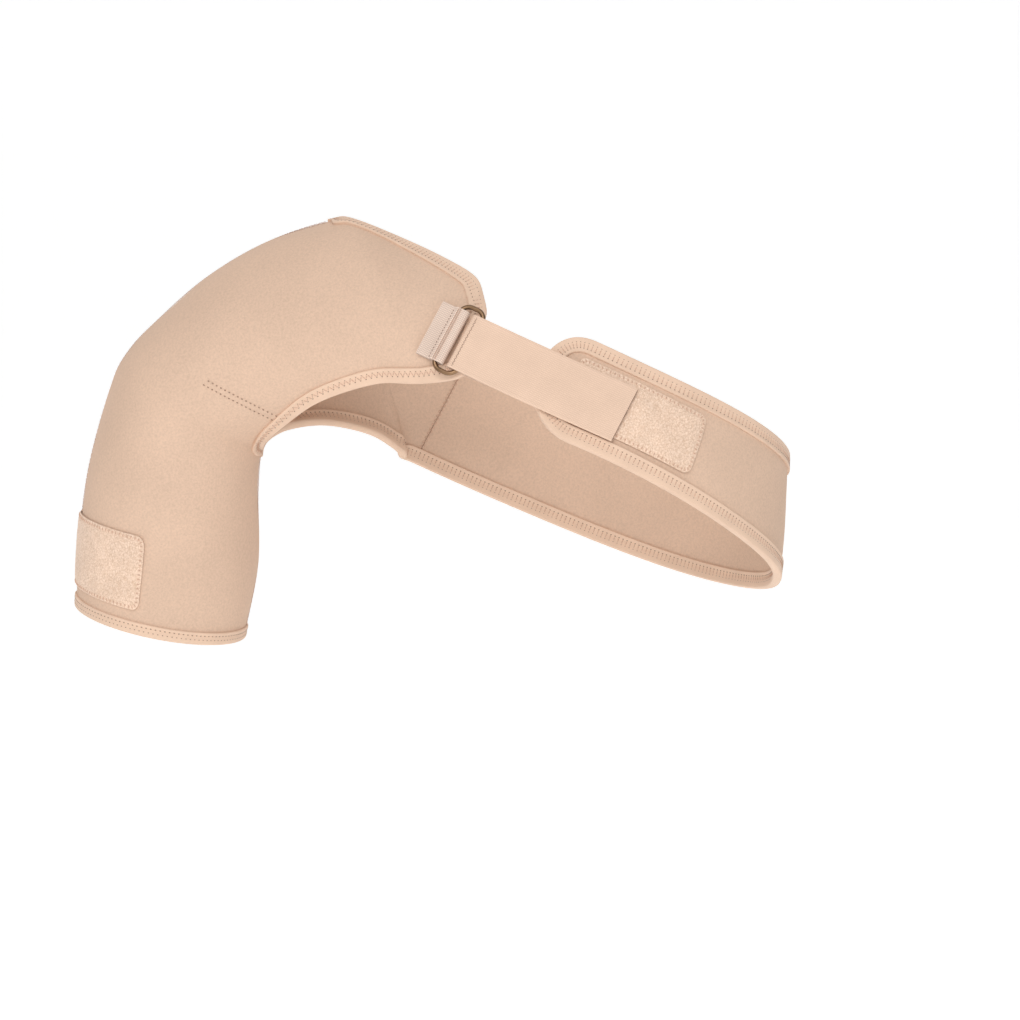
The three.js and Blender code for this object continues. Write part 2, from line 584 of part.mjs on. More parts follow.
// Rows across a patch of some length, with round corners: each row is its place and its half height
function patchRows(length, half, steps) {
  const ends = [0, PATCH_CORNER * (1 - Math.SQRT1_2)];
  return [
    ...ends,
    ...range(steps, PATCH_CORNER, length - PATCH_CORNER),
    ...ends.map(end => length - end).reverse(),
  ].map(place => [place, roundedHalf(half, PATCH_CORNER, Math.min(place, length - place))]);
}
const armPatchMiddle = ARM_PATCH_LIFT + ARM_PATCH_HEIGHT / 2;
const armPatchRows = patchRows(ARM_PATCH_FRONT + ARM_PATCH_BACK, ARM_PATCH_HEIGHT / 2, 10)
  .map(([place, half]) => range(4, armPatchMiddle - half, armPatchMiddle + half)
    .map(rise => [lengthToStation(rise), (place - ARM_PATCH_BACK) / sleeveRadius]));
add('arm_loop_patch', sheet(sleeveFace, armPatchRows, patchLow, patchHigh), LOOP, 0.95);

const chestPatchRows = patchRows(CHEST_PATCH_LENGTH, CHEST_PATCH_HEIGHT / 2, 6)
  .map(([place, half]) => range(4, -half, half).map(up => [CHEST_PATCH_INSET + place, up]));
add('chest_loop_patch', sheet(bandFace, chestPatchRows, patchLow, patchHigh), LOOP, 0.95);

// The strap: folded back under itself round the other bar, then out over the chest band's patch
const strapTurn = barOut + STRAP_WALL / 2;
const strapFold = LOOP_GAP / 2 - 0.4 + strapTurn + STRAP_WALL / 2;
const hookLow = patchHigh + CLEARANCE;
const hookHigh = hookLow + HOOK_PAD_WALL;
const strapLanded = hookHigh + CLEARANCE + STRAP_WALL / 2;
const strapOut = far => mix(RING_LIFT + strapTurn, strapLanded, ease((far - ringBar) / (STRAP_LANDING - ringBar)));
const layersApart = far => mix(2 * strapTurn, STRAP_WALL + CLEARANCE, ease((far - 2 * ringBar) / RING_WIDTH * 2));
const strapPath = [
  ...range(6, STRAP_FOLD_BACK, strapFold).slice(0, -1).map(far => [far, strapOut(far) - layersApart(far)]),
  ...range(TURN_STEPS, -Math.PI / 2, -3 * Math.PI / 2)
    .map(turn => [strapFold + strapTurn * Math.cos(turn), RING_LIFT + strapTurn * Math.sin(turn)]),
  ...range(16, strapFold, STRAP_LENGTH).slice(1).map(far => [far, strapOut(far)]),
];
add('elastic_strap', webbing(strapPath, STRAP_WALL, WEBBING_WIDTH / 2, 4), ELASTIC, 0.85);

const hookPath = range(4, STRAP_LENGTH - HOOK_PAD_LENGTH, STRAP_LENGTH - HOOK_PAD_MARGIN)
  .map(far => [far, (hookLow + hookHigh) / 2]);
add('strap_hook_pad', webbing(hookPath, HOOK_PAD_WALL, WEBBING_WIDTH / 2 - HOOK_PAD_MARGIN, 4), LOOP, 0.95);

// The ring: round wire on a rectangle with round corners
const CORNER_STEPS = 4;
const WIRE_SIDES = 8;
const wireCorner = RING_CORNER - RING_WIRE / 2;
const ringRoute = [0, 1, 2, 3].flatMap(corner => range(CORNER_STEPS, 0, Math.PI / 2).map(turn => {
  const angle = corner * Math.PI / 2 + turn;
  const middle = corner * Math.PI / 2 + Math.PI / 4;
  const centreFar = Math.sign(Math.cos(middle)) * (RING_WIDTH / 2 - RING_CORNER);
  const centreUp = Math.sign(Math.sin(middle)) * (RING_LENGTH / 2 - RING_CORNER);
  return { centreFar, centreUp, angle };
}));
const ringRings = ringRoute.map(({ centreFar, centreUp, angle }) => range(WIRE_SIDES, 0, 2 * Math.PI)
  .slice(0, -1)
  .map(round => {
    const reach = wireCorner + RING_WIRE / 2 * Math.cos(round);
    return ringSeat.clone()
      .addScaledVector(alongStrap, centreFar + reach * Math.cos(angle))
      .addScaledVector(acrossStrap, centreUp + reach * Math.sin(angle))
      .addScaledVector(ringNormal, RING_LIFT + RING_WIRE / 2 * Math.sin(round));
  }));
add('ring', loft(ringRings, true), BRONZE, 0.35, 0.9);

export default brace;
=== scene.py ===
import functools
import math

import bpy
import numpy as np
from bpy.props import FloatProperty, FloatVectorProperty, PointerProperty
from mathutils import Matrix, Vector


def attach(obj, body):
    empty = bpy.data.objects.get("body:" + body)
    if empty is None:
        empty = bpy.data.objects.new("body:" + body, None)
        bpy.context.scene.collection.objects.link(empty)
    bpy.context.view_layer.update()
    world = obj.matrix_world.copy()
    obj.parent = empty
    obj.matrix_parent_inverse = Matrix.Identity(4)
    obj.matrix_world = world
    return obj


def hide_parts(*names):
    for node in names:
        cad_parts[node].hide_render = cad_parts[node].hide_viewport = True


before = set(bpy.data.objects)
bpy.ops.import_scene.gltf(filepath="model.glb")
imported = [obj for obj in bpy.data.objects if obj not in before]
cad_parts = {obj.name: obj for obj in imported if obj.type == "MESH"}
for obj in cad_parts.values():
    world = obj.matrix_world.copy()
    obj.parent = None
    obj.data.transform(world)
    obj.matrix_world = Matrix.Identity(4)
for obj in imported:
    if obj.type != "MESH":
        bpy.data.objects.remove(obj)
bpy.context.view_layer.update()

bl_info = {
    "name": "Shoulder Brace",
    "version": (1, 0, 0),
    "blender": (4, 5, 0),
    "location": "3D View > Sidebar > Brace",
    "description": "Dresses a shoulder brace with foam cloth, folded tape, patches, webbing and stitches",
    "category": "Object",
}

# Sizes are in millimetres and angles in radians until a mesh is made. The origin is the shoulder seat, +X
# runs to the other shoulder, -Y to the front and +Z up.
SLEEVE_OUT = 93.0
SLEEVE_DROP = 217.0
SHOULDER_DEPTH = 124.0
NECK_RISE = 26.0
WING_REACH = 146.0
PANEL_WALL = 3.0
CLEARANCE = 0.3

MIDLINE = 160.0
TORSO_HALF_WIDTH = 160.0
TORSO_FRONT = 120.0
TORSO_BACK = 106.0
TORSO_SQUARENESS = 2.35

BAND_WIDTH = 58.0
BAND_BACK_WIDTH = 84.0
BAND_START = 19.5
BAND_SEAM = 40.0
BAND_LEVEL = 74.8
BAND_SIDE_FALL = 0.46
BAND_BACK_FALL = 0.25
BAND_END_RADIUS = 27.0
BACK_WING_TOP = 100.0
BACK_WING_EDGE = 30.0

TAPE_WIDTH = 8.5
HEM_TAPE_WIDTH = 6.0
STITCH_LIFT = 0.82

PATCH_WALL = 1.2
PATCH_CORNER = 5.0
ARM_PATCH_HEIGHT = 41.0
ARM_PATCH_FRONT = 74.0
ARM_PATCH_BACK = 16.0
ARM_PATCH_LIFT = 12.0
CHEST_PATCH_LENGTH = 79.0
CHEST_PATCH_HEIGHT = 36.0
CHEST_PATCH_INSET = 20.0

RING_ACROSS = 132.0
RING_DROP = 41.0
STRAP_SLOPE = math.radians(24)
RING_LENGTH = 42.0
RING_WIDTH = 17.0
RING_CORNER = 7.0
RING_WIRE = 2.3
RING_PLATING = 0.2
RING_LIFT = 4.2
WEBBING_WIDTH = 33.0
LOOP_GAP = 2.4
TAB_WALL = 1.2
TAB_LENGTH = 19.6
TAB_SEWN = 8.4
TAB_RIBS = (-10.6, -5.2)
TAB_RIB_HEIGHT = 0.38
TAB_ROW = -11.4
TAB_THREAD = (0.20, 0.10, 0.07)
STRAP_WALL = 1.2
STRAP_LENGTH = 107.0
STRAP_FOLD_BACK = 26.0
STRAP_LANDING = 52.0
HOOK_PAD_WALL = 1.0
HOOK_PAD_LENGTH = 26.0
HOOK_PAD_MARGIN = 1.5
STRAP_ZIGZAG = (3.6, 4.8)

# Stitching: what the seams and tapes are sewn with
LADDER_IN, LADDER_OUT = 2.5, 6.1
ZIGZAG_IN, ZIGZAG_OUT = 3.6, 6.6
ZIGZAG_SHARE = 0.64
# How far before the wing's tip the underarm zigzag stops and the ladder starts
ZIGZAG_STOP, LADDER_START = 8.0, 6.0
HEM_ROWS = (1.7, 4.1)
SEAM_REACH = 2.0
SEAM_MARGIN = 4.0
# The short dark threads at the stitches' ends, painted shade of the needle holes, reach this share of the
# pitch each way.
HOLE_SHADE_SHARE = 0.22
DART_START, DART_END = (-13.3, -64.7), (31.5, -89.5)
DART_HALF_WIDTH = 1.6
PATCH_BORDER = 3.0
PATCH_TICKS = (0.5, 2.6)
PATCH_TICK_PITCH = 2.6
SEAM_SHARE = 0.55
DART_PITCH = 1.35
DART_STAGGER = 1.2
TAB_PITCH = 0.9
STRAP_PITCH = 1.1

# The studio: powers in watts and places in metres
KEY_POWER = 33.0
WORLD_LIGHT = 0.5
FLOOR_LEVEL = -0.65
FLOOR_GLOW = 0.38
CAMERA_TARGET = (0.1595, 0, -0.1421)
CAMERA_DISTANCE = 2.6
CAMERA_RISE = math.radians(4.5)
CAMERA_HALF_FRAME = 0.2958

# Surfaces: how finely they are made and how the cloth lies
SEED = 11
PANEL_ROWS = 281
PANEL_CROSS = 147
TAB_CROSS = 44
STRAP_CROSS = 48
TUFT_SPACING = 0.5
CLOTH_SINK = 0.2
ROLL_THICKNESS = 2.3
FOLD_SLACK = 0.4
WALK_STEPS = 3
# Near its ends a tape turns into its seam, and its lips draw in to this share of their width
END_SHARE = 0.5
END_REACH = 16.0
# A smooth edge's corners are rounded over the first of these, and its inward directions over the second
CORNER_SPREAD = 2.5
INWARD_SPREAD = 4.5

ARMPIT_AT = 0.39
NECK_AT = 0.83

# Sections of the shell from the hem over the shoulder to the wing's tip. Lengths are shares of the sleeve's
# reach and drop, the wing's reach and the neck's rise, depths are shares of half the shoulder's depth, and
# start and end are degrees of the section's ellipse.
SECTION_COLUMNS = ("at", "top_x", "top_z", "edge_x", "edge_z", "deep", "start", "end", "dip")
SLEEVE_SECTIONS = [
    (0.00, -0.99, -0.90, 0.035, -0.99, 0.87, 0, 180, 0.024),
    (0.12, -0.965, -0.705, 0.09, -0.80, 0.87, 0, 180, 0.018),
    (0.24, -0.90, -0.52, 0.092, -0.61, 0.91, 0, 180, 0.008),
    (0.39, -0.74, -0.29, 0.107, -0.493, 0.97, 0, 180, 0),
]
FRONT_SECTIONS = [
    (0.44, -0.65, -0.225, 0.13, -0.462, 0.99, 0, 158, 0),
    (0.50, -0.52, -0.165, 0.20, -0.419, 1.01, 0, 140, 0),
    (0.61, -0.18, -0.037, 0.353, -0.347, 1.06, 0, 122, 0),
    (0.72, 0.13, 0.50, 0.57, -0.298, 1.17, 0, 107, 0),
    (0.83, 0.40, 1.00, 0.707, -0.294, 1.33, 0, 98, 0),
    (0.87, 0.475, 1.00, 0.755, -0.293, 1.38, 11, 95, 0),
    (0.92, 0.672, 0.58, 0.80, -0.289, 1.45, 22, 92, 0),
    (0.955, 0.847, 0.14, 0.855, -0.283, 1.52, 35, 91, 0),
    (0.98, 0.962, -0.030, 0.893, -0.276, 1.56, 46, 90, 0),
    (0.99, 0.984, -0.070, 0.904, -0.272, 1.57, 51, 90, 0),
    (1.00, 1.00, -0.114, 0.915, -0.266, 1.58, 57, 90, 0),
]
BACK_SECTIONS = [
    (0.44, -0.65, -0.225, 0.13, -0.468, 0.99, 0, 158, 0),
    (0.50, -0.52, -0.165, 0.20, -0.447, 1.01, 0, 140, 0),
    (0.61, -0.18, -0.037, 0.35, -0.44, 1.08, 0, 122, 0),
    (0.72, 0.13, 0.50, 0.52, -0.47, 1.26, 0, 108, 0),
    (0.83, 0.40, 1.00, 0.63, -0.520, 1.45, 0, 98, 0),
    (0.87, 0.475, 0.88, 0.66, -0.542, 1.50, 14, 95, 0),
    (0.92, 0.63, -0.03, 0.68, -0.562, 1.54, 33, 92, 0),
    (0.96, 0.79, -0.17, 0.705, -0.572, 1.56, 52, 91, 0),
    (1.00, 0.92, -0.25, 0.73, -0.575, 1.58, 66, 90, 0),
]
# Level slices of the torso: drop as a share of the sleeve's drop, the rest as shares of the torso's sizes
TORSO_COLUMNS = ("drop", "wide", "front", "back")
TORSO_SLICES = [
    (-0.05, 0.90, 0.46, 0.70),
    (0.06, 0.94, 0.61, 0.83),
    (0.20, 0.98, 0.78, 0.92),
    (0.38, 1.00, 0.93, 0.98),
    (0.56, 1.00, 1.00, 1.00),
    (0.75, 0.985, 1.00, 0.99),
    (0.94, 0.955, 0.97, 0.94),
]


def table(columns, rows):
    """Rows of numbers as named columns."""
    return dict(zip(columns, np.array(rows, dtype=float).T))


def mix(a, b, share):
    """The value a share of the way from a to b."""
    return a + (b - a) * share


def ease(x):
    """A smooth step from 0 to 1: three squares less two cubes of x, held to that span."""
    x = np.clip(x, 0, 1)
    return x * x * (3 - 2 * x)


def curve(rows, key, name, x):
    """A smooth curve through a column: cubic pieces whose slope at a row is that of the line between its
    two neighbours."""
    keys, values = rows[key], rows[name]
    before = np.maximum(np.arange(len(keys)) - 1, 0)
    after = np.minimum(np.arange(len(keys)) + 1, len(keys) - 1)
    slopes = (values[after] - values[before]) / (keys[after] - keys[before])
    x = np.asarray(x, dtype=float)
    i = np.clip(np.searchsorted(keys, x, side="left") - 1, 0, len(keys) - 2)
    span = keys[i + 1] - keys[i]
    u = np.clip((x - keys[i]) / span, 0, 1)
    rise = values[i + 1] - values[i]
    first = slopes[i] * span - rise
    second = rise - slopes[i + 1] * span
    return values[i] + u * rise + u * (1 - u) * ((1 - u) * first + u * second)


def length_of(vectors):
    """The length of each vector along the last axis, kept as an axis."""
    return np.linalg.norm(vectors, axis=-1, keepdims=True)


def run_of(points):
    """How far along a line of points each of them is."""
    return np.concatenate([[0], np.cumsum(np.linalg.norm(np.diff(points, axis=0), axis=1))])


def at_places(places, run, points):
    """The points at some places along a line of points, whose run is given."""
    return np.stack([np.interp(places, run, points[:, k]) for k in range(points.shape[1])], axis=1)


def shell_rows(rows, dips=True):
    """A table of sections with its shares turned into millimetres and its degrees into radians."""
    shell = table(SECTION_COLUMNS, rows)
    for name in ("top_x", "edge_x"):
        shell[name] = shell[name] * np.where(shell[name] < 0, SLEEVE_OUT, WING_REACH)
    for name in ("top_z", "edge_z"):
        shell[name] = shell[name] * np.where(shell[name] < 0, SLEEVE_DROP, NECK_RISE)
    shell["deep"] = shell["deep"] * SHOULDER_DEPTH / 2
    shell["start"], shell["end"] = np.radians(shell["start"]), np.radians(shell["end"])
    shell["dip"] = shell["dip"] * (SLEEVE_DROP if dips else 0)
    return shell


FRONT_ROWS = shell_rows(SLEEVE_SECTIONS + FRONT_SECTIONS)
BACK_ROWS = shell_rows(SLEEVE_SECTIONS + BACK_SECTIONS, dips=False)
TORSO = table(TORSO_COLUMNS, TORSO_SLICES)


def section_point(rows, side, at, s):
    """A point of a panel's outer face: an arc of an ellipse from the top line to the lower edge. The chord is
    shared out as the cosine of the ellipse's angle, and the depth is its sine."""
    at, s = np.broadcast_arrays(np.asarray(at, float), np.asarray(s, float))
    value = {name: curve(rows, "at", name, at) for name in SECTION_COLUMNS[1:]}
    start, end = np.maximum(value["start"], 0), np.minimum(value["end"], math.pi)
    angle = mix(start, end, s)
    share = (np.cos(start) - np.cos(angle)) / (np.cos(start) - np.cos(end))
    return np.stack([
        mix(value["top_x"], value["edge_x"], share),
        side * (CLEARANCE / 2 + value["deep"] * np.sin(angle)),
        mix(value["top_z"], value["edge_z"], share) - value["dip"] * np.sin(angle),
    ], axis=-1)


def torso_point(angle, z):
    """A point of the torso at height z: a superellipse with its own depth in front and behind."""
    drop = -z / SLEEVE_DROP
    deep = np.where(
        angle > 0,
        TORSO_FRONT * curve(TORSO, "drop", "front", drop),
        TORSO_BACK * curve(TORSO, "drop", "back", drop),
    )
    wide = TORSO_HALF_WIDTH * curve(TORSO, "drop", "wide", drop)
    power = TORSO_SQUARENESS
    reach = (np.abs(np.cos(angle) / wide) ** power + np.abs(np.sin(angle) / deep) ** power) ** (-1 / power)
    return np.stack(np.broadcast_arrays(
        MIDLINE + reach * np.cos(angle), -reach * np.sin(angle), z), axis=-1)


def band_middle(angle):
    """The band's middle line: where a tilted plane cuts the torso, found in four passes."""
    point = torso_point(angle, np.full_like(angle, -BAND_LEVEL))
    for _ in range(4):
        z = -BAND_LEVEL - BAND_SIDE_FALL * (point[..., 0] - MIDLINE) - BAND_BACK_FALL * point[..., 1]
        point = torso_point(angle, z)
    return point


START_ANGLE = math.atan2(TORSO_FRONT, BAND_START)
SEAM_ANGLE = math.atan2(TORSO_BACK, BAND_SEAM) - math.pi
ANGLE_STEP = math.radians(0.5)
LINE_ANGLES = np.arange(START_ANGLE + math.radians(20), -math.pi + math.radians(5), -ANGLE_STEP)
LINE_POINTS = band_middle(LINE_ANGLES)
LINE_LENGTHS = run_of(LINE_POINTS)
FREE_END = np.interp(-START_ANGLE, -LINE_ANGLES, LINE_LENGTHS)
BAND_LENGTH = np.interp(-SEAM_ANGLE, -LINE_ANGLES, LINE_LENGTHS) - FREE_END
BAND_LINE = {"length": LINE_LENGTHS - FREE_END, "angle": LINE_ANGLES}


def band_point(length, up):
    """A point of the band's outer face, length along it from the free end and up across it. The step across
    is square to the middle line on the unrolled torso."""
    length, up = np.broadcast_arrays(np.asarray(length, float), np.asarray(up, float))
    angle = curve(BAND_LINE, "length", "angle", length)
    middle, ahead = band_middle(angle), band_middle(angle - ANGLE_STEP)
    level = np.linalg.norm(torso_point(angle - ANGLE_STEP, middle[..., 2]) - middle, axis=-1)
    slope = (ahead[..., 2] - middle[..., 2]) / level
    square = up / np.hypot(1, slope)
    return torso_point(angle + square * slope * ANGLE_STEP / level, middle[..., 2] + square)


def band_half_width(length):
    """Half the band's width, which grows smoothly from the free end to the back seam."""
    return mix(BAND_WIDTH, BAND_BACK_WIDTH, ease(length / BAND_LENGTH)) / 2


def rounded_half(half, radius, from_end):
    """Half the width of a strip with round corners, some way in from its end."""
    left = radius - np.clip(from_end, 0, radius)
    return half - radius + np.sqrt(radius ** 2 - left ** 2)


def band_edge(length):
    """Half the band's width with its free end rounded."""
    return rounded_half(band_half_width(length), BAND_END_RADIUS, length)


def back_point(at, s):
    """A point of the back panel: the shell's section, which turns smoothly into the band at the seam."""
    at, s = np.broadcast_arrays(np.asarray(at, float), np.asarray(s, float))
    wing = np.clip((at - NECK_AT) / (1 - NECK_AT), 0, 1)
    length = BAND_LENGTH + mix(BACK_WING_TOP, BACK_WING_EDGE, s) * (1 - wing)
    band = band_point(length, band_half_width(BAND_LENGTH) * (1 - 2 * s))
    return mix(section_point(BACK_ROWS, 1, at, s), band, ease(wing)[..., None])


def sleeve_point(at, turn):
    """A point of the sleeve by its angle from the outer line, positive to the front."""
    at, turn = np.broadcast_arrays(np.asarray(at, float), np.asarray(turn, float))
    point = np.where(
        (turn > 0)[..., None],
        section_point(FRONT_ROWS, -1, at, turn / math.pi),
        section_point(BACK_ROWS, -1, at, turn / math.pi),
    )
    point[..., 1] = -curve(FRONT_ROWS, "at", "deep", at) * np.sin(turn)
    return point


class Face:
    """A surface that pieces lie on: a point for two parameters, and the side that faces out."""

    def __init__(self, point, low, high, step, sign):
        self.point, self.low, self.high, self.step, self.sign = point, low, high, step, sign

    def frame(self, u, v):
        """The two tangents, from small steps, and the outward normal, their cross product."""
        u, v = np.broadcast_arrays(np.asarray(u, float), np.asarray(v, float))
        before, after = np.maximum(self.low, u - self.step), np.minimum(self.high, u + self.step)
        along_u = (self.point(after, v) - self.point(before, v)) / (after - before)[..., None]
        along_v = (self.point(u, v + self.step) - self.point(u, v - self.step)) / (2 * self.step)
        normal = np.cross(along_u, along_v) * self.sign
        return along_u, along_v, normal / length_of(normal)

    def lifted(self, u, v, lift):
        """The point at some height over the face."""
        return self.point(u, v) + self.frame(u, v)[2] * np.asarray(lift, float)[..., None]

    def step_by(self, u, v, step):
        """The parameters of the point a given step away: the step is shared out between the tangents."""
        along_u, along_v, _ = self.frame(u, v)
        a, b, c = [(x * y).sum(-1) for x, y in
                   ((along_u, along_u), (along_u, along_v), (along_v, along_v))]
        p, q = (along_u * step).sum(-1), (along_v * step).sum(-1)
        scale = a * c - b * b
        return u + (c * p - b * q) / scale, v + (a * q - b * p) / scale

    def walk(self, u, v, way, distance):
        """The parameters of the point some distance away over the face: short steps, each turned into the
        face and kept to its length."""
        for _ in range(WALK_STEPS):
            normal = self.frame(u, v)[2]
            way = way - normal * (way * normal).sum(-1, keepdims=True)
            way = way / length_of(way)
            u, v = self.step_by(u, v, way * (distance / WALK_STEPS)[..., None])
        return u, v


FRONT = Face(lambda u, v: section_point(FRONT_ROWS, -1, u, v), 0, 1, 1e-3, -1)
BACK = Face(back_point, 0, 1, 1e-3, 1)
BAND = Face(band_point, -1e9, 1e9, 0.5, 1)
SLEEVE = Face(sleeve_point, 0, 1, 1e-3, -1)


def add_piece(name, points, quads, material, uv=None, sharp=40):
    """A mesh object from points in millimetres and quads, turned to face out by its signed volume."""
    a, b, c, d = [points[quads[:, k]] for k in range(4)]
    volume = (a * np.cross(b, c)).sum() + (a * np.cross(c, d)).sum()
    if volume < 0:
        quads = quads[:, ::-1]
    mesh = bpy.data.meshes.new(name)
    mesh.vertices.add(len(points))
    mesh.vertices.foreach_set("co", (points * 0.001).astype(np.float32).ravel())
    mesh.loops.add(quads.size)
    mesh.loops.foreach_set("vertex_index", quads.astype(np.int32).ravel())
    mesh.polygons.add(len(quads))
    mesh.polygons.foreach_set("loop_start", np.arange(0, quads.size, 4, dtype=np.int32))
    if uv is not None:
        layer = mesh.uv_layers.new(name="UVMap")
        layer.data.foreach_set("uv", uv[quads.ravel()].astype(np.float32).ravel())
    mesh.update(calc_edges=True)
    mesh.validate()
    mesh.materials.append(material)
    mesh.shade_smooth()
    mesh.set_sharp_from_angle(angle=math.radians(sharp))
    piece = bpy.data.objects.new(name, mesh)
    bpy.context.scene.collection.objects.link(piece)
    return piece


def ring_quads(rings, count, closed):
    """Quads between a row of rings, each a closed loop of count points."""
    last = rings if closed else rings - 1
    i, j = np.meshgrid(np.arange(last), np.arange(count), indexing="ij")
    here, there = i * count, ((i + 1) % rings) * count
    k = (j + 1) % count
    return np.stack([here + j, here + k, there + k, there + j], axis=-1).reshape(-1, 4)


def loft(rings, closed=False):
    """Points and quads of one closed body through rings that go out and back. Strips between a ring's two
    halves close its ends."""
    count = rings.shape[1]
    quads = ring_quads(len(rings), count, closed)
    if not closed:
        j = np.arange(count // 2 - 1)
        end = (len(rings) - 1) * count
        cap = np.stack([count - 1 - j, count - 2 - j, j + 1, j], axis=-1)
        other = np.stack([end + j, end + j + 1, end + count - 2 - j, end + count - 1 - j], axis=-1)
        quads = np.concatenate([quads, cap, other])
    return rings.reshape(-1, 3), quads


def ring_uv(along, around):
    """UV coordinates in millimetres for rings: the place along the piece and the place round it."""
    return np.stack(np.meshgrid(along, around, indexing="ij"), axis=-1).reshape(-1, 2)


def crowded(count, ends):
    """Shares from 0 to 1 that lie closer together at both ends: t less a sine wave."""
    t = np.linspace(0, 1, count + 1)
    return t - (1 - ends) * np.sin(2 * math.pi * t) / (2 * math.pi)


def walled(face, u, v, top, bottom):
    """Rings of a body that lies on a face: its outer rows, and its inner rows back."""
    outer, inner = face.lifted(u, v, top), face.lifted(u, v, np.full_like(u, bottom))
    return np.concatenate([outer, inner[:, ::-1]], axis=1)


def drape(point):
    """Slow swells of worn foam cloth, a sum of three sine waves through space, under half a millimetre."""
    x, y, z = point[..., 0], point[..., 1], point[..., 2]
    return (0.16 * np.sin(x / 17 + z / 29 + 0.6)
            + 0.12 * np.sin(z / 13 - y / 21 + 1.9)
            + 0.10 * np.sin((x + z) / 9.5 + y / 15 + 4.1))


def dart_relief(point):
    """The dart across the front of the arm: a low pad between two sewn grooves, each a bell curve of the
    distance from the dart's line, and soft puckers that fan out from its start."""
    start, end = np.array(DART_START), np.array(DART_END)
    way = (end - start) / np.linalg.norm(end - start)
    flat = point[..., [0, 2]] - start
    along, off = flat @ way, flat @ np.array([-way[1], way[0]])
    window = ease((along + 2) / 6) * ease((np.linalg.norm(end - start) + 3 - along) / 6)
    grooves = np.exp(-(np.abs(off) - DART_HALF_WIDTH - 0.5) ** 2)
    pad = 0.40 * np.exp(-(off / 1.3) ** 2) - 0.42 * grooves
    far = np.hypot(along, off)
    angle = np.arctan2(off, along)
    pucker = 0.45 * np.sin(3 * angle + 0.8) * np.exp(-((far - 9) / 7) ** 2)
    return window * pad + pucker


def tape_profile(width):
    """The outer face of folded tape, from its lip over the rolled edge to its lip on the body's side, as the
    way in from the edge and the lift over the face."""
    fold = (PANEL_WALL + ROLL_THICKNESS) / 2
    turn = np.linspace(math.pi / 2, -math.pi / 2, 13)
    middle = -PANEL_WALL / 2
    lip = [
        (width, 0.15), (width + 0.05, 0.7), (width - 0.4, 1.18), (width - 1.1, 1.2), (width - 1.9, 0.98),
        (width * 0.68, STITCH_LIFT), (width * 0.48, STITCH_LIFT), (width * 0.36, 1.0),
        (width * 0.22, 1.16), (width * 0.08, 1.18),
    ]
    roll = [(-0.5 * fold * math.cos(a), middle + fold * math.sin(a)) for a in turn]
    return np.array(lip + roll + [(x, 2 * middle - y) for x, y in lip[::-1]])


def smoothed(values, spacing, spread, closed):
    """Values along a path, averaged with a bell curve of the given spread in millimetres."""
    reach = int(3 * spread / spacing) + 1
    weights = np.exp(-0.5 * (np.arange(-reach, reach + 1) * spacing / spread) ** 2)
    weights /= weights.sum()
    padded = np.pad(values, ((reach, reach), (0, 0)), mode="wrap" if closed else "edge")
    columns = [np.convolve(padded[:, k], weights, mode="valid") for k in range(values.shape[1])]
    return np.stack(columns, axis=1)


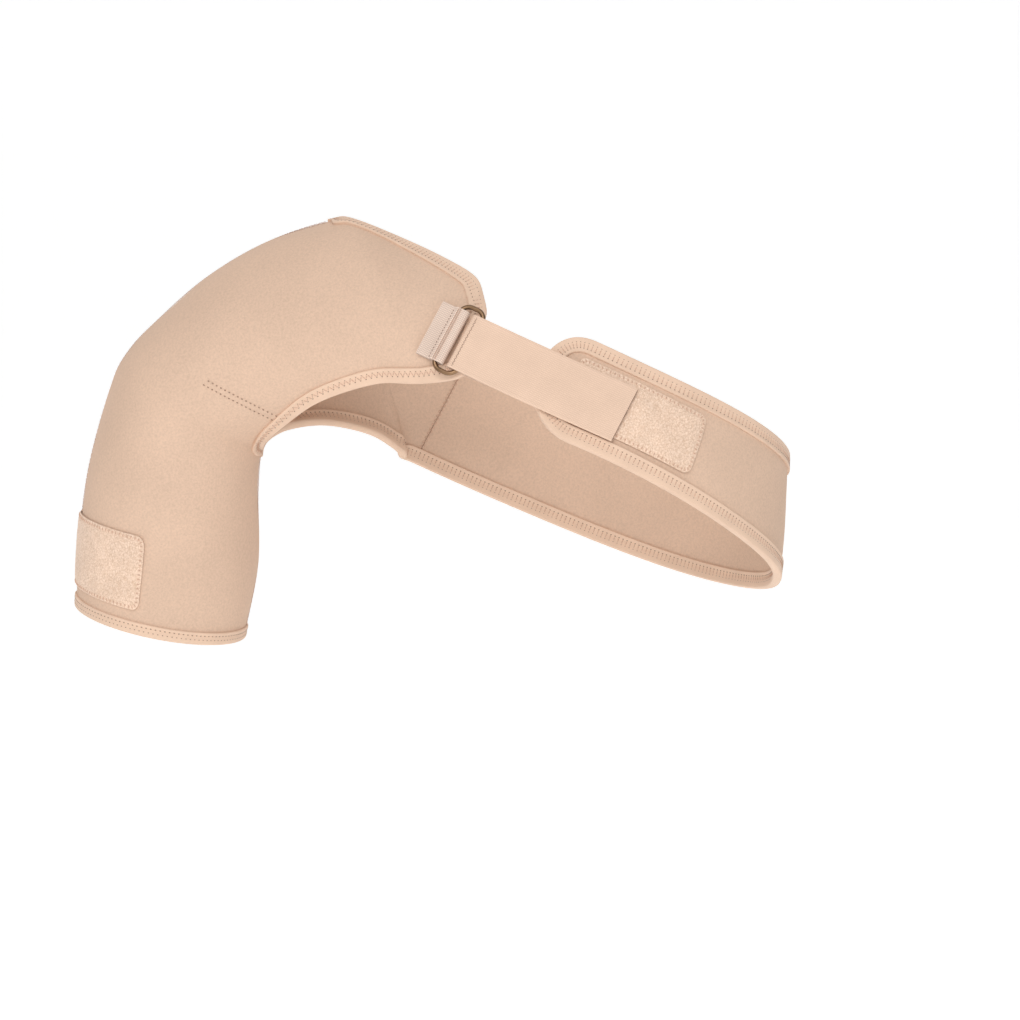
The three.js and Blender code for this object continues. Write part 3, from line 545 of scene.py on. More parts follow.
class Edge:
    """A path along an edge of one or more faces, as points an even distance apart, with the outward normal
    and the direction in from the edge at each. A smooth one has its corners rounded for tape."""

    def __init__(self, legs, spacing, closed=False, smooth=True):
        points = [face.point(u, v) for face, u, v in legs]
        place = np.concatenate(points)
        if closed:
            place = np.concatenate([place, place[:1]])
        run = run_of(place)
        self.length, self.closed = run[-1], closed
        count = int(round(self.length / spacing))
        self.spacing = self.length / count
        self.run = np.arange(count + (0 if closed else 1)) * self.spacing
        owner = np.concatenate([np.full(len(p), k) for k, p in enumerate(points)])
        if closed:
            owner = np.append(owner, owner[0])
        nearest = owner[np.clip(np.searchsorted(run, self.run, side="right") - 1, 0, len(owner) - 1)]
        self.place = at_places(self.run, run, place)
        from_end = np.minimum(self.run, self.length - self.run)
        self.share = np.ones(len(self.run))
        if smooth:
            away = ease(from_end / END_REACH)
            self.share = mix(END_SHARE, 1, away)
            rounded = smoothed(self.place, self.spacing, CORNER_SPREAD, closed)
            self.place = mix(self.place, rounded, away[:, None])
        offset = 0
        self.u, self.v = np.zeros(len(self.run)), np.zeros(len(self.run))
        self.faces, self.owner = [face for face, _, _ in legs], nearest
        for k, (face, u, v) in enumerate(legs):
            own = nearest == k
            span = run[offset:offset + len(u)]
            self.u[own], self.v[own] = np.interp(self.run[own], span, u), np.interp(self.run[own], span, v)
            offset += len(u)
        normal = np.zeros((len(self.run), 3))
        for k, face in enumerate(self.faces):
            own = nearest == k
            if own.any():
                normal[own] = face.frame(self.u[own], self.v[own])[2]
        ahead, behind = np.roll(self.place, -1, axis=0), np.roll(self.place, 1, axis=0)
        if not closed:
            ahead[-1], behind[0] = self.place[-1], self.place[0]
        inward = np.cross(normal, ahead - behind)
        if not closed:
            inward[[0, -1], 1] = 0
        spread = INWARD_SPREAD if smooth else 1
        inward = smoothed(inward / length_of(inward), self.spacing, spread, closed)
        self.normal = smoothed(normal, self.spacing, 2, closed)
        self.normal /= length_of(self.normal)
        inward -= self.normal * (inward * self.normal).sum(-1, keepdims=True)
        self.inward = inward / length_of(inward)

    def surface(self, inward, lift):
        """Points a distance in from the edge and over the face, for arrays along the path and across it. What
        lies outside the edge is counted straight out from it."""
        inward, lift = np.broadcast_arrays(inward, lift)
        inward = np.where(inward > 0, inward * self.share[:, None], inward)
        result = np.zeros(inward.shape + (3,))
        for k, face in enumerate(self.faces):
            own = self.owner == k
            if not own.any():
                continue
            u, v = self.u[own][:, None], self.v[own][:, None]
            distance = np.maximum(inward[own], 0)
            way = np.broadcast_to(self.inward[own][:, None, :], distance.shape + (3,))
            u, v = [np.broadcast_to(start, distance.shape) for start in (u, v)]
            u, v = face.walk(u, v, way, distance)
            on_face = face.lifted(u, v, lift[own])
            place, normal = self.place[own][:, None, :], self.normal[own][:, None, :]
            straight = place + self.inward[own][:, None, :] * inward[own][..., None] \
                + normal * lift[own][..., None]
            near = ease(inward[own] / 1.5)[..., None]
            result[own] = mix(straight, on_face, near)
        return result

    def line(self, places, inward, lift):
        """Points on the tape or cloth at places along the edge, all the same way in from it and over the
        face."""
        flat = np.full((len(self.run), 1), inward)
        points = self.surface(flat, np.full_like(flat, lift))[:, 0]
        return at_places(places, self.run, points)

    def normals(self, places):
        """The outward normals at places along the edge."""
        return at_places(places, self.run, self.normal)


def tape_body(edge, width):
    """Rings of folded tape: the profile carried along the edge."""
    profile = tape_profile(width)
    count = len(edge.run)
    return edge.surface(np.tile(profile[:, 0], (count, 1)), np.tile(profile[:, 1], (count, 1)))


def tape_uv(edge, width):
    """The tape's UV map in millimetres: the run along the edge and the way round the profile."""
    profile = tape_profile(width)
    around = run_of(profile)
    return ring_uv(edge.run, around)


THREAD_RINGS = 4
THREAD_SIDES = 6
# How thick each seam's thread is, as a share of the sewing thread
THREAD_SHARES = {
    "tape_ladder": 0.8, "tape_hole_shade": 1.1, "underarm_zigzag": 0.9, "underarm_hole_shade": 1.1,
    "hem_rows": 1.25, "seam_zigzag": 0.9, "dart_rows": 1.3, "patch_ticks": 1.2,
    "tab_row": 1.5, "tab_grooves": 0.9, "strap_zigzag": 0.8, "strap_end_shadow_line": 1.5,
}


def threads(starts, ends, normals, thick):
    """Short sewn threads: each runs from its start to its end, rises as half a sine wave, thins to its ends
    as the root of that wave, and has both ends sunk in the cloth."""
    t = np.linspace(0, 1, THREAD_RINGS)
    wave = np.sin(math.pi * t)
    way = ends - starts
    side = np.cross(way, normals)
    side /= length_of(side)
    up = np.cross(side, way / length_of(way))
    rise = thick * (0.75 * wave - 0.45)
    middle = starts[:, None] + way[:, None] * t[:, None] + up[:, None] * rise[:, None]
    turn = np.arange(THREAD_SIDES) * 2 * math.pi / THREAD_SIDES
    circle = side[:, None] * np.cos(turn)[:, None] + up[:, None] * np.sin(turn)[:, None]
    radius = thick / 2 * (0.4 + 0.6 * np.sqrt(wave))
    points = middle[:, :, None] + circle[:, None] * radius[:, None, None]
    return points.reshape(-1, 3)


def thread_quads(count):
    """Quads of a number of threads, each a tube with two quads over either end."""
    last = (THREAD_RINGS - 1) * THREAD_SIDES
    caps = np.array([(0, 5, 4, 3), (0, 3, 2, 1), (last, last + 1, last + 2, last + 3),
                     (last, last + 3, last + 4, last + 5)])
    one = np.concatenate([ring_quads(THREAD_RINGS, THREAD_SIDES, False), caps])
    offsets = np.arange(count) * THREAD_RINGS * THREAD_SIDES
    return (one[None] + offsets[:, None, None]).reshape(-1, 4)


def add_threads(name, runs, thick, material):
    """One object of all the threads of a seam. Each run is its starts, ends and normals."""
    points = np.concatenate([threads(*run, THREAD_SHARES[name] * thick) for run in runs])
    piece = add_piece(name, points, thread_quads(len(points) // (THREAD_RINGS * THREAD_SIDES)), material)
    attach(piece, "root")


def evenly(start, end, pitch):
    """Places an even distance apart, close to the pitch."""
    return np.linspace(start, end, int(round((end - start) / pitch)) + 1)


# Both sides of the cloth, as the lift of a tape's stitches over it and the side that they face
TAPE_SIDES = ((STITCH_LIFT, 1), (-PANEL_WALL - STITCH_LIFT, -1))
CLOTH_SIDES = ((0.0, 1), (-PANEL_WALL, -1))


def hole_shade_at(edge, places, way, lift, side, pitch):
    """Short threads along an edge, over the ends of the stitches at these places. Sewn in the darkened
    thread, they are painted shade of the needle holes.
    """
    ends = [edge.line(places + shift * pitch, way, lift) for shift in (-HOLE_SHADE_SHARE, HOLE_SHADE_SHARE)]
    return (*ends, edge.normals(places) * side)


def ladder(edge, start, end, pitch):
    """Rungs square to an edge on both sides of its tape, and a short thread along it at both ends of each,
    which is painted shade of the needle hole there.
    """
    places = evenly(start, end, pitch)
    rungs, hole_shades = [], []
    for lift, side in TAPE_SIDES:
        normals = edge.normals(places) * side
        rungs.append((edge.line(places, LADDER_IN, lift), edge.line(places, LADDER_OUT, lift), normals))
        hole_shades += [hole_shade_at(edge, places, way, lift, side, pitch) for way in (LADDER_IN, LADDER_OUT)]
    return rungs, hole_shades


def zigzag(places, near, far, normals):
    """Threads to and fro between two lines, given at the same places."""
    even = (np.arange(len(places)) % 2 == 0)[:, None]
    points = np.where(even, near, far)
    return points[:-1], points[1:], (normals[:-1] + normals[1:]) / 2


def dashes(line, normals):
    """Every other span of a line of points as a thread."""
    return line[:-1:2], line[1::2][:len(line[:-1:2])], normals[:-1:2]


# A wave texture's bands are this over its scale apart
WAVE = math.pi / 10
WHITE = (1.0, 1.0, 1.0)


class Shader:
    """A material's nodes, made and joined by name."""

    def __init__(self, name):
        self.material = bpy.data.materials.new(name)
        self.material.use_nodes = True
        self.tree = self.material.node_tree
        self.surface = self.tree.nodes["Principled BSDF"]

    def node(self, kind, links=None, **settings):
        """A node with its settings and the outputs that feed its inputs."""
        node = self.tree.nodes.new(kind)
        for name, value in settings.items():
            if hasattr(node, name):
                setattr(node, name, value)
            else:
                node.inputs[name.replace("_", " ")].default_value = value
        for name, output in (links or {}).items():
            self.tree.links.new(output, node.inputs[name])
        return node

    def place(self, kind="Object"):
        """The piece's own coordinates, or its UV map in millimetres."""
        return self.node("ShaderNodeTexCoord").outputs[kind]

    def noise(self, vector, scale, detail=3.0, roughness=0.5):
        """Smooth noise, with scale in waves per metre."""
        return self.node("ShaderNodeTexNoise", {"Vector": vector}, Scale=scale, Detail=detail,
                         Roughness=roughness).outputs["Fac"]

    def ramp(self, value, stops):
        """A colour for each share of a value."""
        ramp = self.node("ShaderNodeValToRGB", {"Fac": value})
        elements = ramp.color_ramp.elements
        while len(elements) < len(stops):
            elements.new(0.5)
        for element, (place, colour) in zip(elements, stops):
            element.position, element.color = place, (*colour, 1)
        return ramp.outputs["Color"]

    def tone(self, value, colour, dark, light, low=0.3, high=0.7):
        """A colour that goes from a darker to a lighter factor of itself as a value goes from low to high."""
        return self.ramp(value, ((low, toned(colour, dark)), (high, toned(colour, light))))

    def multiply(self, first, second):
        """Two colours multiplied. The mixer's colour inputs are its seventh and eighth."""
        mixer = self.node("ShaderNodeMix", data_type="RGBA", blend_type="MULTIPLY")
        mixer.inputs[0].default_value = 1.0
        self.tree.links.new(first, mixer.inputs[6])
        self.tree.links.new(second, mixer.inputs[7])
        return mixer.outputs[2]

    def bump(self, height, distance, strength, under=None):
        """Relief from a height, over another relief if one is given."""
        links = {"Height": height}
        if under is not None:
            links["Normal"] = under
        return self.node("ShaderNodeBump", links, Distance=distance, Strength=strength).outputs["Normal"]

    def finish(self, colour=None, relief=None, **constants):
        """Feeds the surface, and sets what is the same all over on its own sockets."""
        if colour is not None:
            self.tree.links.new(colour, self.surface.inputs["Base Color"])
        if relief is not None:
            self.tree.links.new(relief, self.surface.inputs["Normal"])
        for name, value in constants.items():
            self.surface.inputs[name.replace("_", " ")].default_value = value
        return self.material


def toned(colour, factor):
    """A colour made lighter or darker."""
    return tuple(min(1.0, channel * factor) for channel in colour)


def cloth_material(name, colour, grain=0.00012, contrast=0.075):
    """Knitted cloth: slow tone changes, a fine heather of lighter and darker loops, and the loops' relief."""
    shader = Shader(name)
    place = shader.place()
    slow = shader.noise(place, 22, 2)
    heather = shader.noise(place, 820, 4, 0.7)
    tone = shader.tone(slow, colour, 0.965, 1.03)
    fine = shader.tone(heather, WHITE, 1 - 2 * contrast, 1, 0.32, 0.62)
    loops = shader.noise(place, 1500, 2, 0.6)
    relief = shader.bump(loops, grain, 0.5, shader.bump(heather, 2 * grain, 0.35))
    return shader.finish(shader.multiply(tone, fine), relief, Roughness=0.9, Sheen_Weight=0.12,
                         Sheen_Roughness=0.45, Sheen_Tint=(*toned(colour, 1.2), 1))


def ribbed_material(name, colour, pitch, dark):
    """Woven cloth on the piece's UV map: fine cords along it, crossed by picks, with slow tone changes."""
    shader = Shader(name)
    place = shader.place("UV")
    cords, picks = [
        shader.node("ShaderNodeTexWave", {"Vector": place}, wave_type="BANDS", bands_direction=way,
                    Scale=WAVE / period, Distortion=1.0, Detail=1.0).outputs["Fac"]
        for way, period in (("Y", pitch), ("X", 0.8 * pitch))
    ]
    woven = shader.node("ShaderNodeMath", {0: cords, 1: picks}, operation="MULTIPLY").outputs["Value"]
    slow = shader.noise(shader.place(), 60, 3)
    tone = shader.tone(slow, colour, 0.96, 1.03)
    shadow = shader.tone(woven, WHITE, 1 - dark, 1, 0.05, 0.5)
    fibres = shader.noise(shader.place(), 1600, 2, 0.6)
    relief = shader.bump(woven, 0.00018, 0.5, shader.bump(fibres, 0.0001, 0.4))
    return shader.finish(shader.multiply(tone, shadow), relief, Roughness=0.85, Sheen_Weight=0.12,
                         Sheen_Roughness=0.4)


def pile_material(name, colour, scale=650.0):
    """Loop pile: curls of thread from cells whose places are stirred by noise, with painted shade between
    them, and noise that paints light on some tufts and shade on others.
    """
    shader = Shader(name)
    place = shader.place()
    stir = shader.node("ShaderNodeTexNoise", {"Vector": place}, Scale=0.8 * scale,
                       Detail=2.0).outputs["Color"]
    bent = shader.node("ShaderNodeVectorMath", {0: stir, 2: place}, operation="MULTIPLY_ADD")
    bent.inputs[1].default_value = (0.0022, 0.0022, 0.0022)
    curls = shader.node("ShaderNodeTexVoronoi", {"Vector": bent.outputs["Vector"]},
                        feature="DISTANCE_TO_EDGE", Scale=scale).outputs["Distance"]
    tone = shader.tone(shader.noise(place, 90, 3), colour, 0.93, 1.04)
    # Darker where the curls meet: painted shade in the gaps between the loops.
    gap_shade = shader.ramp(curls, ((0.0, (0.84, 0.78, 0.72)), (0.16, WHITE)))
    # Some tufts lighter and others darker by noise: painted light and shade on the tufts.
    lit = shader.ramp(shader.noise(place, 950, 3), ((0.38, (0.90, 0.87, 0.83)), (0.60, (1.06, 1.06, 1.06))))
    tone = shader.multiply(tone, lit)
    relief = shader.bump(curls, 0.0005, 0.6, shader.bump(shader.noise(place, 1400, 3), 0.0002, 0.6))
    return shader.finish(shader.multiply(tone, gap_shade), relief, Roughness=0.95, Sheen_Weight=0.15,
                         Sheen_Roughness=0.5)


def thread_material(name, colour):
    """Twisted thread: short light and dark turns on the piece's coordinates."""
    shader = Shader(name)
    twist = shader.noise(shader.place(), 2200, 2)
    tone = shader.tone(twist, colour, 0.82, 1.12, 0.35, 0.65)
    return shader.finish(tone, Roughness=0.7, Sheen_Weight=0.1)


def metal_material(name, colour):
    """Plated wire: darker in broad patches, with fine rubbed streaks and a slightly uneven gloss."""
    shader = Shader(name)
    place = shader.place()
    patches = shader.noise(place, 160, 3)
    rubbed = shader.noise(place, 900, 4, 0.65)
    tone = shader.tone(patches, colour, 0.7, 1.15, 0.35, 0.65)
    bright = shader.ramp(rubbed, ((0.55, WHITE), (0.8, (1.25, 1.2, 1.1))))
    gloss = shader.node("ShaderNodeMapRange", {"Value": rubbed}, To_Min=0.28, To_Max=0.46).outputs["Result"]
    shader.tree.links.new(gloss, shader.surface.inputs["Roughness"])
    return shader.finish(shader.multiply(tone, bright), shader.bump(rubbed, 0.00005, 0.3), Metallic=1.0)


def floor_material(name, colour):
    """Pale studio floor with a faint tone change."""
    shader = Shader(name)
    tone = shader.tone(shader.noise(shader.place(), 0.6, 2), colour, 0.985, 1)
    return shader.finish(tone, Roughness=0.85, Emission_Color=(1, 1, 1, 1), Emission_Strength=FLOOR_GLOW)


def hardware():
    """The plane that the ring lies over: its seat on the front wing, the way along the strap, the way across
    it and the normal."""
    seat = place_in_front(np.array(RING_ACROSS), np.array(-RING_DROP))
    east = place_in_front(np.array(RING_ACROSS + 1), np.array(-RING_DROP)) - seat
    above = place_in_front(np.array(RING_ACROSS), np.array(1 - RING_DROP)) - seat
    normal = np.cross(east, above)
    normal /= np.linalg.norm(normal)
    along = east * math.cos(STRAP_SLOPE) - above * math.sin(STRAP_SLOPE)
    along /= np.linalg.norm(along)
    return seat, along, np.cross(normal, along), normal


def seek(x, z, u, v):
    """The front face's parameters at a given x and z, found from a first guess by eight Newton steps."""
    u, v = np.full(x.shape, u), np.full(x.shape, v)
    for _ in range(8):
        here = FRONT.point(u, v)
        along_u, along_v, _ = FRONT.frame(u, v)
        scale = along_u[..., 0] * along_v[..., 2] - along_v[..., 0] * along_u[..., 2]
        miss_x, miss_z = x - here[..., 0], z - here[..., 2]
        u = u + (miss_x * along_v[..., 2] - miss_z * along_v[..., 0]) / scale
        v = v + (miss_z * along_u[..., 0] - miss_x * along_u[..., 2]) / scale
    return u, v


def place_in_front(x, z):
    """The front wing's point at a given x and z."""
    return FRONT.point(*seek(x, z, 0.9, 0.5))


RING_SEAT, ALONG_STRAP, ACROSS_STRAP, RING_NORMAL = hardware()


def chest_in_front(x, z):
    """The chest's face in front of a point: the torso's slice at that height."""
    drop = -z / SLEEVE_DROP
    share = np.abs(x - MIDLINE) / (TORSO_HALF_WIDTH * curve(TORSO, "drop", "wide", drop))
    deep = TORSO_FRONT * curve(TORSO, "drop", "front", drop) \
        * np.maximum(0, 1 - share ** TORSO_SQUARENESS) ** (1 / TORSO_SQUARENESS)
    return np.stack([x, -deep, z], axis=-1)


def hardware_point(far, up, out):
    """A point far along the strap, up across it and out from what is below: the wing on the sewn tab's side,
    the ring's plane inside the ring, and the chest where the strap has come down."""
    far, up, out = np.broadcast_arrays(np.asarray(far, float), np.asarray(up, float), np.asarray(out, float))
    point = RING_SEAT + ALONG_STRAP * far[..., None] + ACROSS_STRAP * up[..., None]
    on_wing = 1 - ease((far + TAB_LENGTH - TAB_SEWN / 2) / TAB_SEWN)
    on_chest = ease((far - RING_WIDTH / 2) / (STRAP_LANDING - RING_WIDTH / 2))
    wing = on_wing > 0
    if wing.any():
        under = place_in_front(point[wing][:, 0], point[wing][:, 2])
        point[wing] = mix(point[wing], under, on_wing[wing][:, None])
    chest = on_chest > 0
    if chest.any():
        under = chest_in_front(point[chest][:, 0], point[chest][:, 2])
        point[chest] = mix(point[chest], under, on_chest[chest][:, None])
    return point + RING_NORMAL * out[..., None]


def webbing_body(path, wall, half_width, cross, relief=None, shown=1):
    """Rings across a strip of webbing: its path is carried over its width, with half the wall on each side.
    The relief is on the side that shows: 1 to the left of the path, -1 to its right."""
    ahead, behind = np.roll(path, -1, axis=0), np.roll(path, 1, axis=0)
    ahead[-1], behind[0] = path[-1], path[0]
    way = ahead - behind
    way /= length_of(way)
    side = np.stack([-way[:, 1], way[:, 0]], axis=1)
    up = np.sin(np.linspace(-math.pi / 2, math.pi / 2, cross + 1)) * half_width
    thin = wall * (0.5 - 0.22 * ease((np.abs(up) - half_width + 1.2) / 1.2))
    high = np.zeros((len(up), len(path))) if relief is None else relief(up[:, None], path)
    left, right = [thin[:, None] + high * (shown == hand) for hand in (1, -1)]
    upper = path[None] + side[None] * left[..., None]
    lower = path[None] - side[None] * right[..., None]
    across = np.broadcast_to(up[:, None], high.shape)
    top = hardware_point(upper[..., 0], across, upper[..., 1])
    bottom = hardware_point(lower[..., 0], across, lower[..., 1])
    return np.concatenate([top, bottom[:, ::-1]], axis=1)


def webbing_uv(path, cross):
    """A strip's UV map in millimetres: its path runs along both sides of each ring, its width from ring to
    ring."""
    run = run_of(path)
    up = np.sin(np.linspace(-math.pi / 2, math.pi / 2, cross + 1)) * WEBBING_WIDTH / 2
    width, length = np.meshgrid(up, np.concatenate([run, run[::-1]]), indexing="ij")
    return np.stack([length, width], axis=-1).reshape(-1, 2)


BAR_OUT = RING_WIRE / 2 + CLEARANCE
STRAP_LANDED = CLEARANCE + PATCH_WALL + CLEARANCE + HOOK_PAD_WALL + CLEARANCE + STRAP_WALL / 2
RING_BAR = (RING_WIDTH - RING_WIRE) / 2


def tab_path():
    """The tab's middle line: flat on the wing, round the bar and back over it to its sewn end."""
    turn_radius = BAR_OUT + TAB_WALL / 2
    fold = -LOOP_GAP / 2 - FOLD_SLACK - turn_radius - TAB_WALL / 2
    low = CLEARANCE + TAB_WALL / 2
    high = low + TAB_WALL + CLEARANCE
    seam = TAB_SEWN - TAB_LENGTH
    corners = [(-TAB_LENGTH, low), (seam, low), (-RING_BAR, RING_LIFT - turn_radius)]
    turn = np.linspace(-math.pi / 2, math.pi / 2, 17)
    corners += [(fold + turn_radius * math.cos(a), RING_LIFT + turn_radius * math.sin(a)) for a in turn]
    corners += [(-RING_BAR - RING_WIRE / 2, RING_LIFT + turn_radius), (seam, high), (-TAB_LENGTH, high)]
    return dense(np.array(corners), 0.2)


def tab_top(far):
    """How far out the tab's upper face is: its path on the way back, and half its wall."""
    back = tab_path()
    back = back[np.argmax(back[:, 0]):][::-1]
    return np.interp(far, back[:, 0], back[:, 1]) + TAB_WALL / 2


def dense(path, spacing):
    """A path with points an even distance apart."""
    run = run_of(path)
    places = np.linspace(0, run[-1], int(round(run[-1] / spacing)) + 1)
    return at_places(places, run, path)


def strap_path():
    """The strap's middle line: folded back under itself round the ring's bar, then out over the patch."""
    turn_radius = BAR_OUT + STRAP_WALL / 2
    fold = LOOP_GAP / 2 - FOLD_SLACK + turn_radius + STRAP_WALL / 2

    def out(far):
        return mix(RING_LIFT + turn_radius, STRAP_LANDED, ease((far - RING_BAR) / (STRAP_LANDING - RING_BAR)))

    def apart(far):
        return mix(2 * turn_radius, STRAP_WALL + CLEARANCE, ease((far - 2 * RING_BAR) / RING_WIDTH * 2))

    back = np.linspace(STRAP_FOLD_BACK, fold, 24)[:-1]
    turn = np.linspace(-math.pi / 2, -1.5 * math.pi, 17)
    far = np.linspace(fold, STRAP_LENGTH, 80)[1:]
    path = np.concatenate([
        np.stack([back, out(back) - apart(back)], axis=1),
        np.stack([fold + turn_radius * np.cos(turn), RING_LIFT + turn_radius * np.sin(turn)], axis=1),
        np.stack([far, out(far)], axis=1),
    ])
    return dense(path, 0.6)


def replace(piece, node):
    """The piece stands for a node and moves with the body."""
    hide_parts(node)
    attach(piece, "root")
    return piece


class BRACE_PG_colours(bpy.types.PropertyGroup):
    """Colours of the brace's cloths and metal."""
    cloth: FloatVectorProperty(
        name="Foam cloth", description="Face of the panels and the band",
        subtype="COLOR", default=(0.705, 0.497, 0.367), min=0, max=1)
    tape: FloatVectorProperty(
        name="Tape", description="Folded tape on the edges",
        subtype="COLOR", default=(0.84, 0.60, 0.445), min=0, max=1)
    pile: FloatVectorProperty(
        name="Pile", description="Loop patches",
        subtype="COLOR", default=(0.85, 0.645, 0.51), min=0, max=1)
    webbing: FloatVectorProperty(
        name="Webbing", description="Tab round the ring",
        subtype="COLOR", default=(0.86, 0.67, 0.555), min=0, max=1)
    elastic: FloatVectorProperty(
        name="Elastic", description="Closing strap",
        subtype="COLOR", default=(0.84, 0.60, 0.452), min=0, max=1)
    thread: FloatVectorProperty(
        name="Thread", description="Sewing thread",
        subtype="COLOR", default=(0.62, 0.40, 0.29), min=0, max=1)
    metal: FloatVectorProperty(
        name="Metal", description="Plating of the wire ring",
        subtype="COLOR", default=(0.27, 0.165, 0.095), min=0, max=1)


class BRACE_PG_sizes(bpy.types.PropertyGroup):
    """Sizes of the brace's sewing and pile."""
    pitch: FloatProperty(
        name="Stitch Pitch", description="From one stitch to the next along the tapes",
        subtype="DISTANCE", unit="LENGTH", default=0.0027, min=0.001, max=0.01)
    thread: FloatProperty(
        name="Thread", description="Thickness of the sewing thread",
        subtype="DISTANCE", unit="LENGTH", default=0.00055, min=0.0002, max=0.002)
    pile: FloatProperty(
        name="Pile", description="Height of the loop pile's tufts",
        subtype="DISTANCE", unit="LENGTH", default=0.0004, min=0, max=0.001)
    rib: FloatProperty(
        name="Rib Pitch", description="From one rib of the tab's webbing to the next",
        subtype="DISTANCE", unit="LENGTH", default=0.0012, min=0.0005, max=0.003)


def in_mm(context, name):
    """A size of the brace in millimetres."""
    return 1000 * getattr(context.scene.brace_sizes, name)


class BRACE_OT_panels(bpy.types.Operator):
    """Make the front and back halves of the sleeve, cap and wings."""
    bl_idname = "brace.panels"
    bl_label = "Panels"

    def execute(self, context):
        cloth = cloth_material("brace_cloth", context.scene.brace_colours.cloth)
        u, v = np.meshgrid(np.linspace(0, 1, PANEL_ROWS), crowded(PANEL_CROSS, 0.45), indexing="ij")
        for name, node, face in (("front_panel_cloth", "front_panel", FRONT),
                                 ("back_panel_cloth", "back_panel", BACK)):
            point = face.point(u, v)
            dart = dart_relief(point) if face is FRONT else 0
            rings = walled(face, u, v, drape(point) + dart - CLOTH_SINK, -PANEL_WALL)
            piece = replace(add_piece(name, *loft(rings), cloth), node)
        return {"FINISHED"}


class BRACE_OT_band(bpy.types.Operator):
    """Make the chest band with its round free end."""
    bl_idname = "brace.band"
    bl_label = "Chest Band"

    def execute(self, context):
        cloth = bpy.data.materials["brace_cloth"]
        rounded = BAND_END_RADIUS * (1 - np.cos(np.linspace(0, math.pi / 2, 20)[:-1]))
        lengths = np.concatenate([rounded, np.linspace(BAND_END_RADIUS, BAND_LENGTH - CLEARANCE, 330)])
        shares = crowded(48, 0.5) * 2 - 1
        up = shares[None] * band_edge(lengths)[:, None]
        u = np.broadcast_to(lengths[:, None], up.shape)
        rings = walled(BAND, u, up, drape(BAND.point(u, up)) - CLOTH_SINK, -PANEL_WALL)
        piece = replace(add_piece("chest_band_cloth", *loft(rings), cloth), "chest_band")
        return {"FINISHED"}


@functools.lru_cache(maxsize=1)
def edge_paths():
    """The three edges that tape goes round: the hem, the front wing's edge, and the back panel's with the
    band's."""
    fine = np.linspace(0, 1, 161)
    hem = Edge([
        (FRONT, 0 * fine, fine),
        (BACK, 0 * fine[1:-1], fine[::-1][1:-1]),
    ], 1.0, closed=True, smooth=False)
    under, neck = np.linspace(ARMPIT_AT, 1, 200), np.linspace(NECK_AT, 1, 160)
    tip = np.linspace(1, 0, 50)
    front = Edge([
        (FRONT, under, np.ones_like(under)),
        (FRONT, np.ones_like(tip)[1:-1], tip[1:-1]),
        (FRONT, neck[::-1], np.zeros_like(neck)),
    ], 0.9)
    rounded = BAND_END_RADIUS * (1 - np.cos(np.linspace(0, math.pi / 2, 30)))
    lengths = np.concatenate([rounded, np.linspace(BAND_END_RADIUS, BAND_LENGTH, 400)[1:]])
    back = Edge([
        (BACK, neck[:-1], np.zeros_like(neck[:-1])),
        (BAND, lengths[::-1], band_edge(lengths)[::-1]),
        (BAND, lengths[1:], -band_edge(lengths)[1:]),
        (BACK, under[:-1][::-1], np.ones_like(under[:-1])),
    ], 1.1)
    return hem, front, back


class BRACE_OT_tapes(bpy.types.Operator):
    """Make the folded tape on the hem, the wing and the band."""
    bl_idname = "brace.tapes"
    bl_label = "Edge Tapes"

    def execute(self, context):
        tape = ribbed_material("edge_tape", context.scene.brace_colours.tape, 0.7, 0.12)
        hem, front, back = edge_paths()
        for name, node, edge, width in (("hem_tape", "hem_binding", hem, HEM_TAPE_WIDTH),
                                        ("front_edge_tape", "front_binding", front, TAPE_WIDTH),
                                        ("back_edge_tape", "back_binding", back, TAPE_WIDTH)):
            body = loft(tape_body(edge, width), edge.closed)
            replace(add_piece(name, *body, tape, tape_uv(edge, width)), node)
        return {"FINISHED"}


def patch_rows(length, half, spacing):
    """Places along a patch with round corners, and its half height at each."""
    corner = PATCH_CORNER * (1 - np.cos(np.linspace(0, math.pi / 2, 8)[:-1]))
    middle = np.linspace(PATCH_CORNER, length - PATCH_CORNER, int((length - 2 * PATCH_CORNER) / spacing))
    places = np.concatenate([corner, middle, length - corner[::-1]])
    return places, rounded_half(half, PATCH_CORNER, np.minimum(places, length - places))


def chest_spot(x, y):
    """The band's parameters at a place on the chest patch."""
    return CHEST_PATCH_INSET + x, y


SLEEVE_STATIONS = np.linspace(0, 0.6, 601)
SLEEVE_LINE = SLEEVE.point(SLEEVE_STATIONS, np.zeros_like(SLEEVE_STATIONS))
SLEEVE_RUN = run_of(SLEEVE_LINE)


def arm_spot(x, y):
    """The sleeve's parameters at a place on the arm patch: its run up from the hem, and its turn round."""
    rise = np.interp(ARM_PATCH_LIFT + ARM_PATCH_HEIGHT / 2 + y, SLEEVE_RUN, SLEEVE_STATIONS)
    return rise, (x - ARM_PATCH_BACK) / ((SLEEVE_OUT + SHOULDER_DEPTH) / 4)


PATCHES = (
    ("chest_patch", "chest_loop_patch", BAND, chest_spot, CHEST_PATCH_LENGTH, CHEST_PATCH_HEIGHT),
    ("arm_patch", "arm_loop_patch", SLEEVE, arm_spot, ARM_PATCH_FRONT + ARM_PATCH_BACK, ARM_PATCH_HEIGHT),
)


def tufts(shape, spacing):
    """Uneven tufts from 0 to 1: seeded noise, averaged over about a millimetre both ways."""
    noise = np.random.default_rng(SEED).normal(size=shape)
    for _ in range(2):
        noise = smoothed(noise, spacing, 0.5, False).T
    noise /= np.abs(noise).max()
    return 0.5 + 0.5 * noise


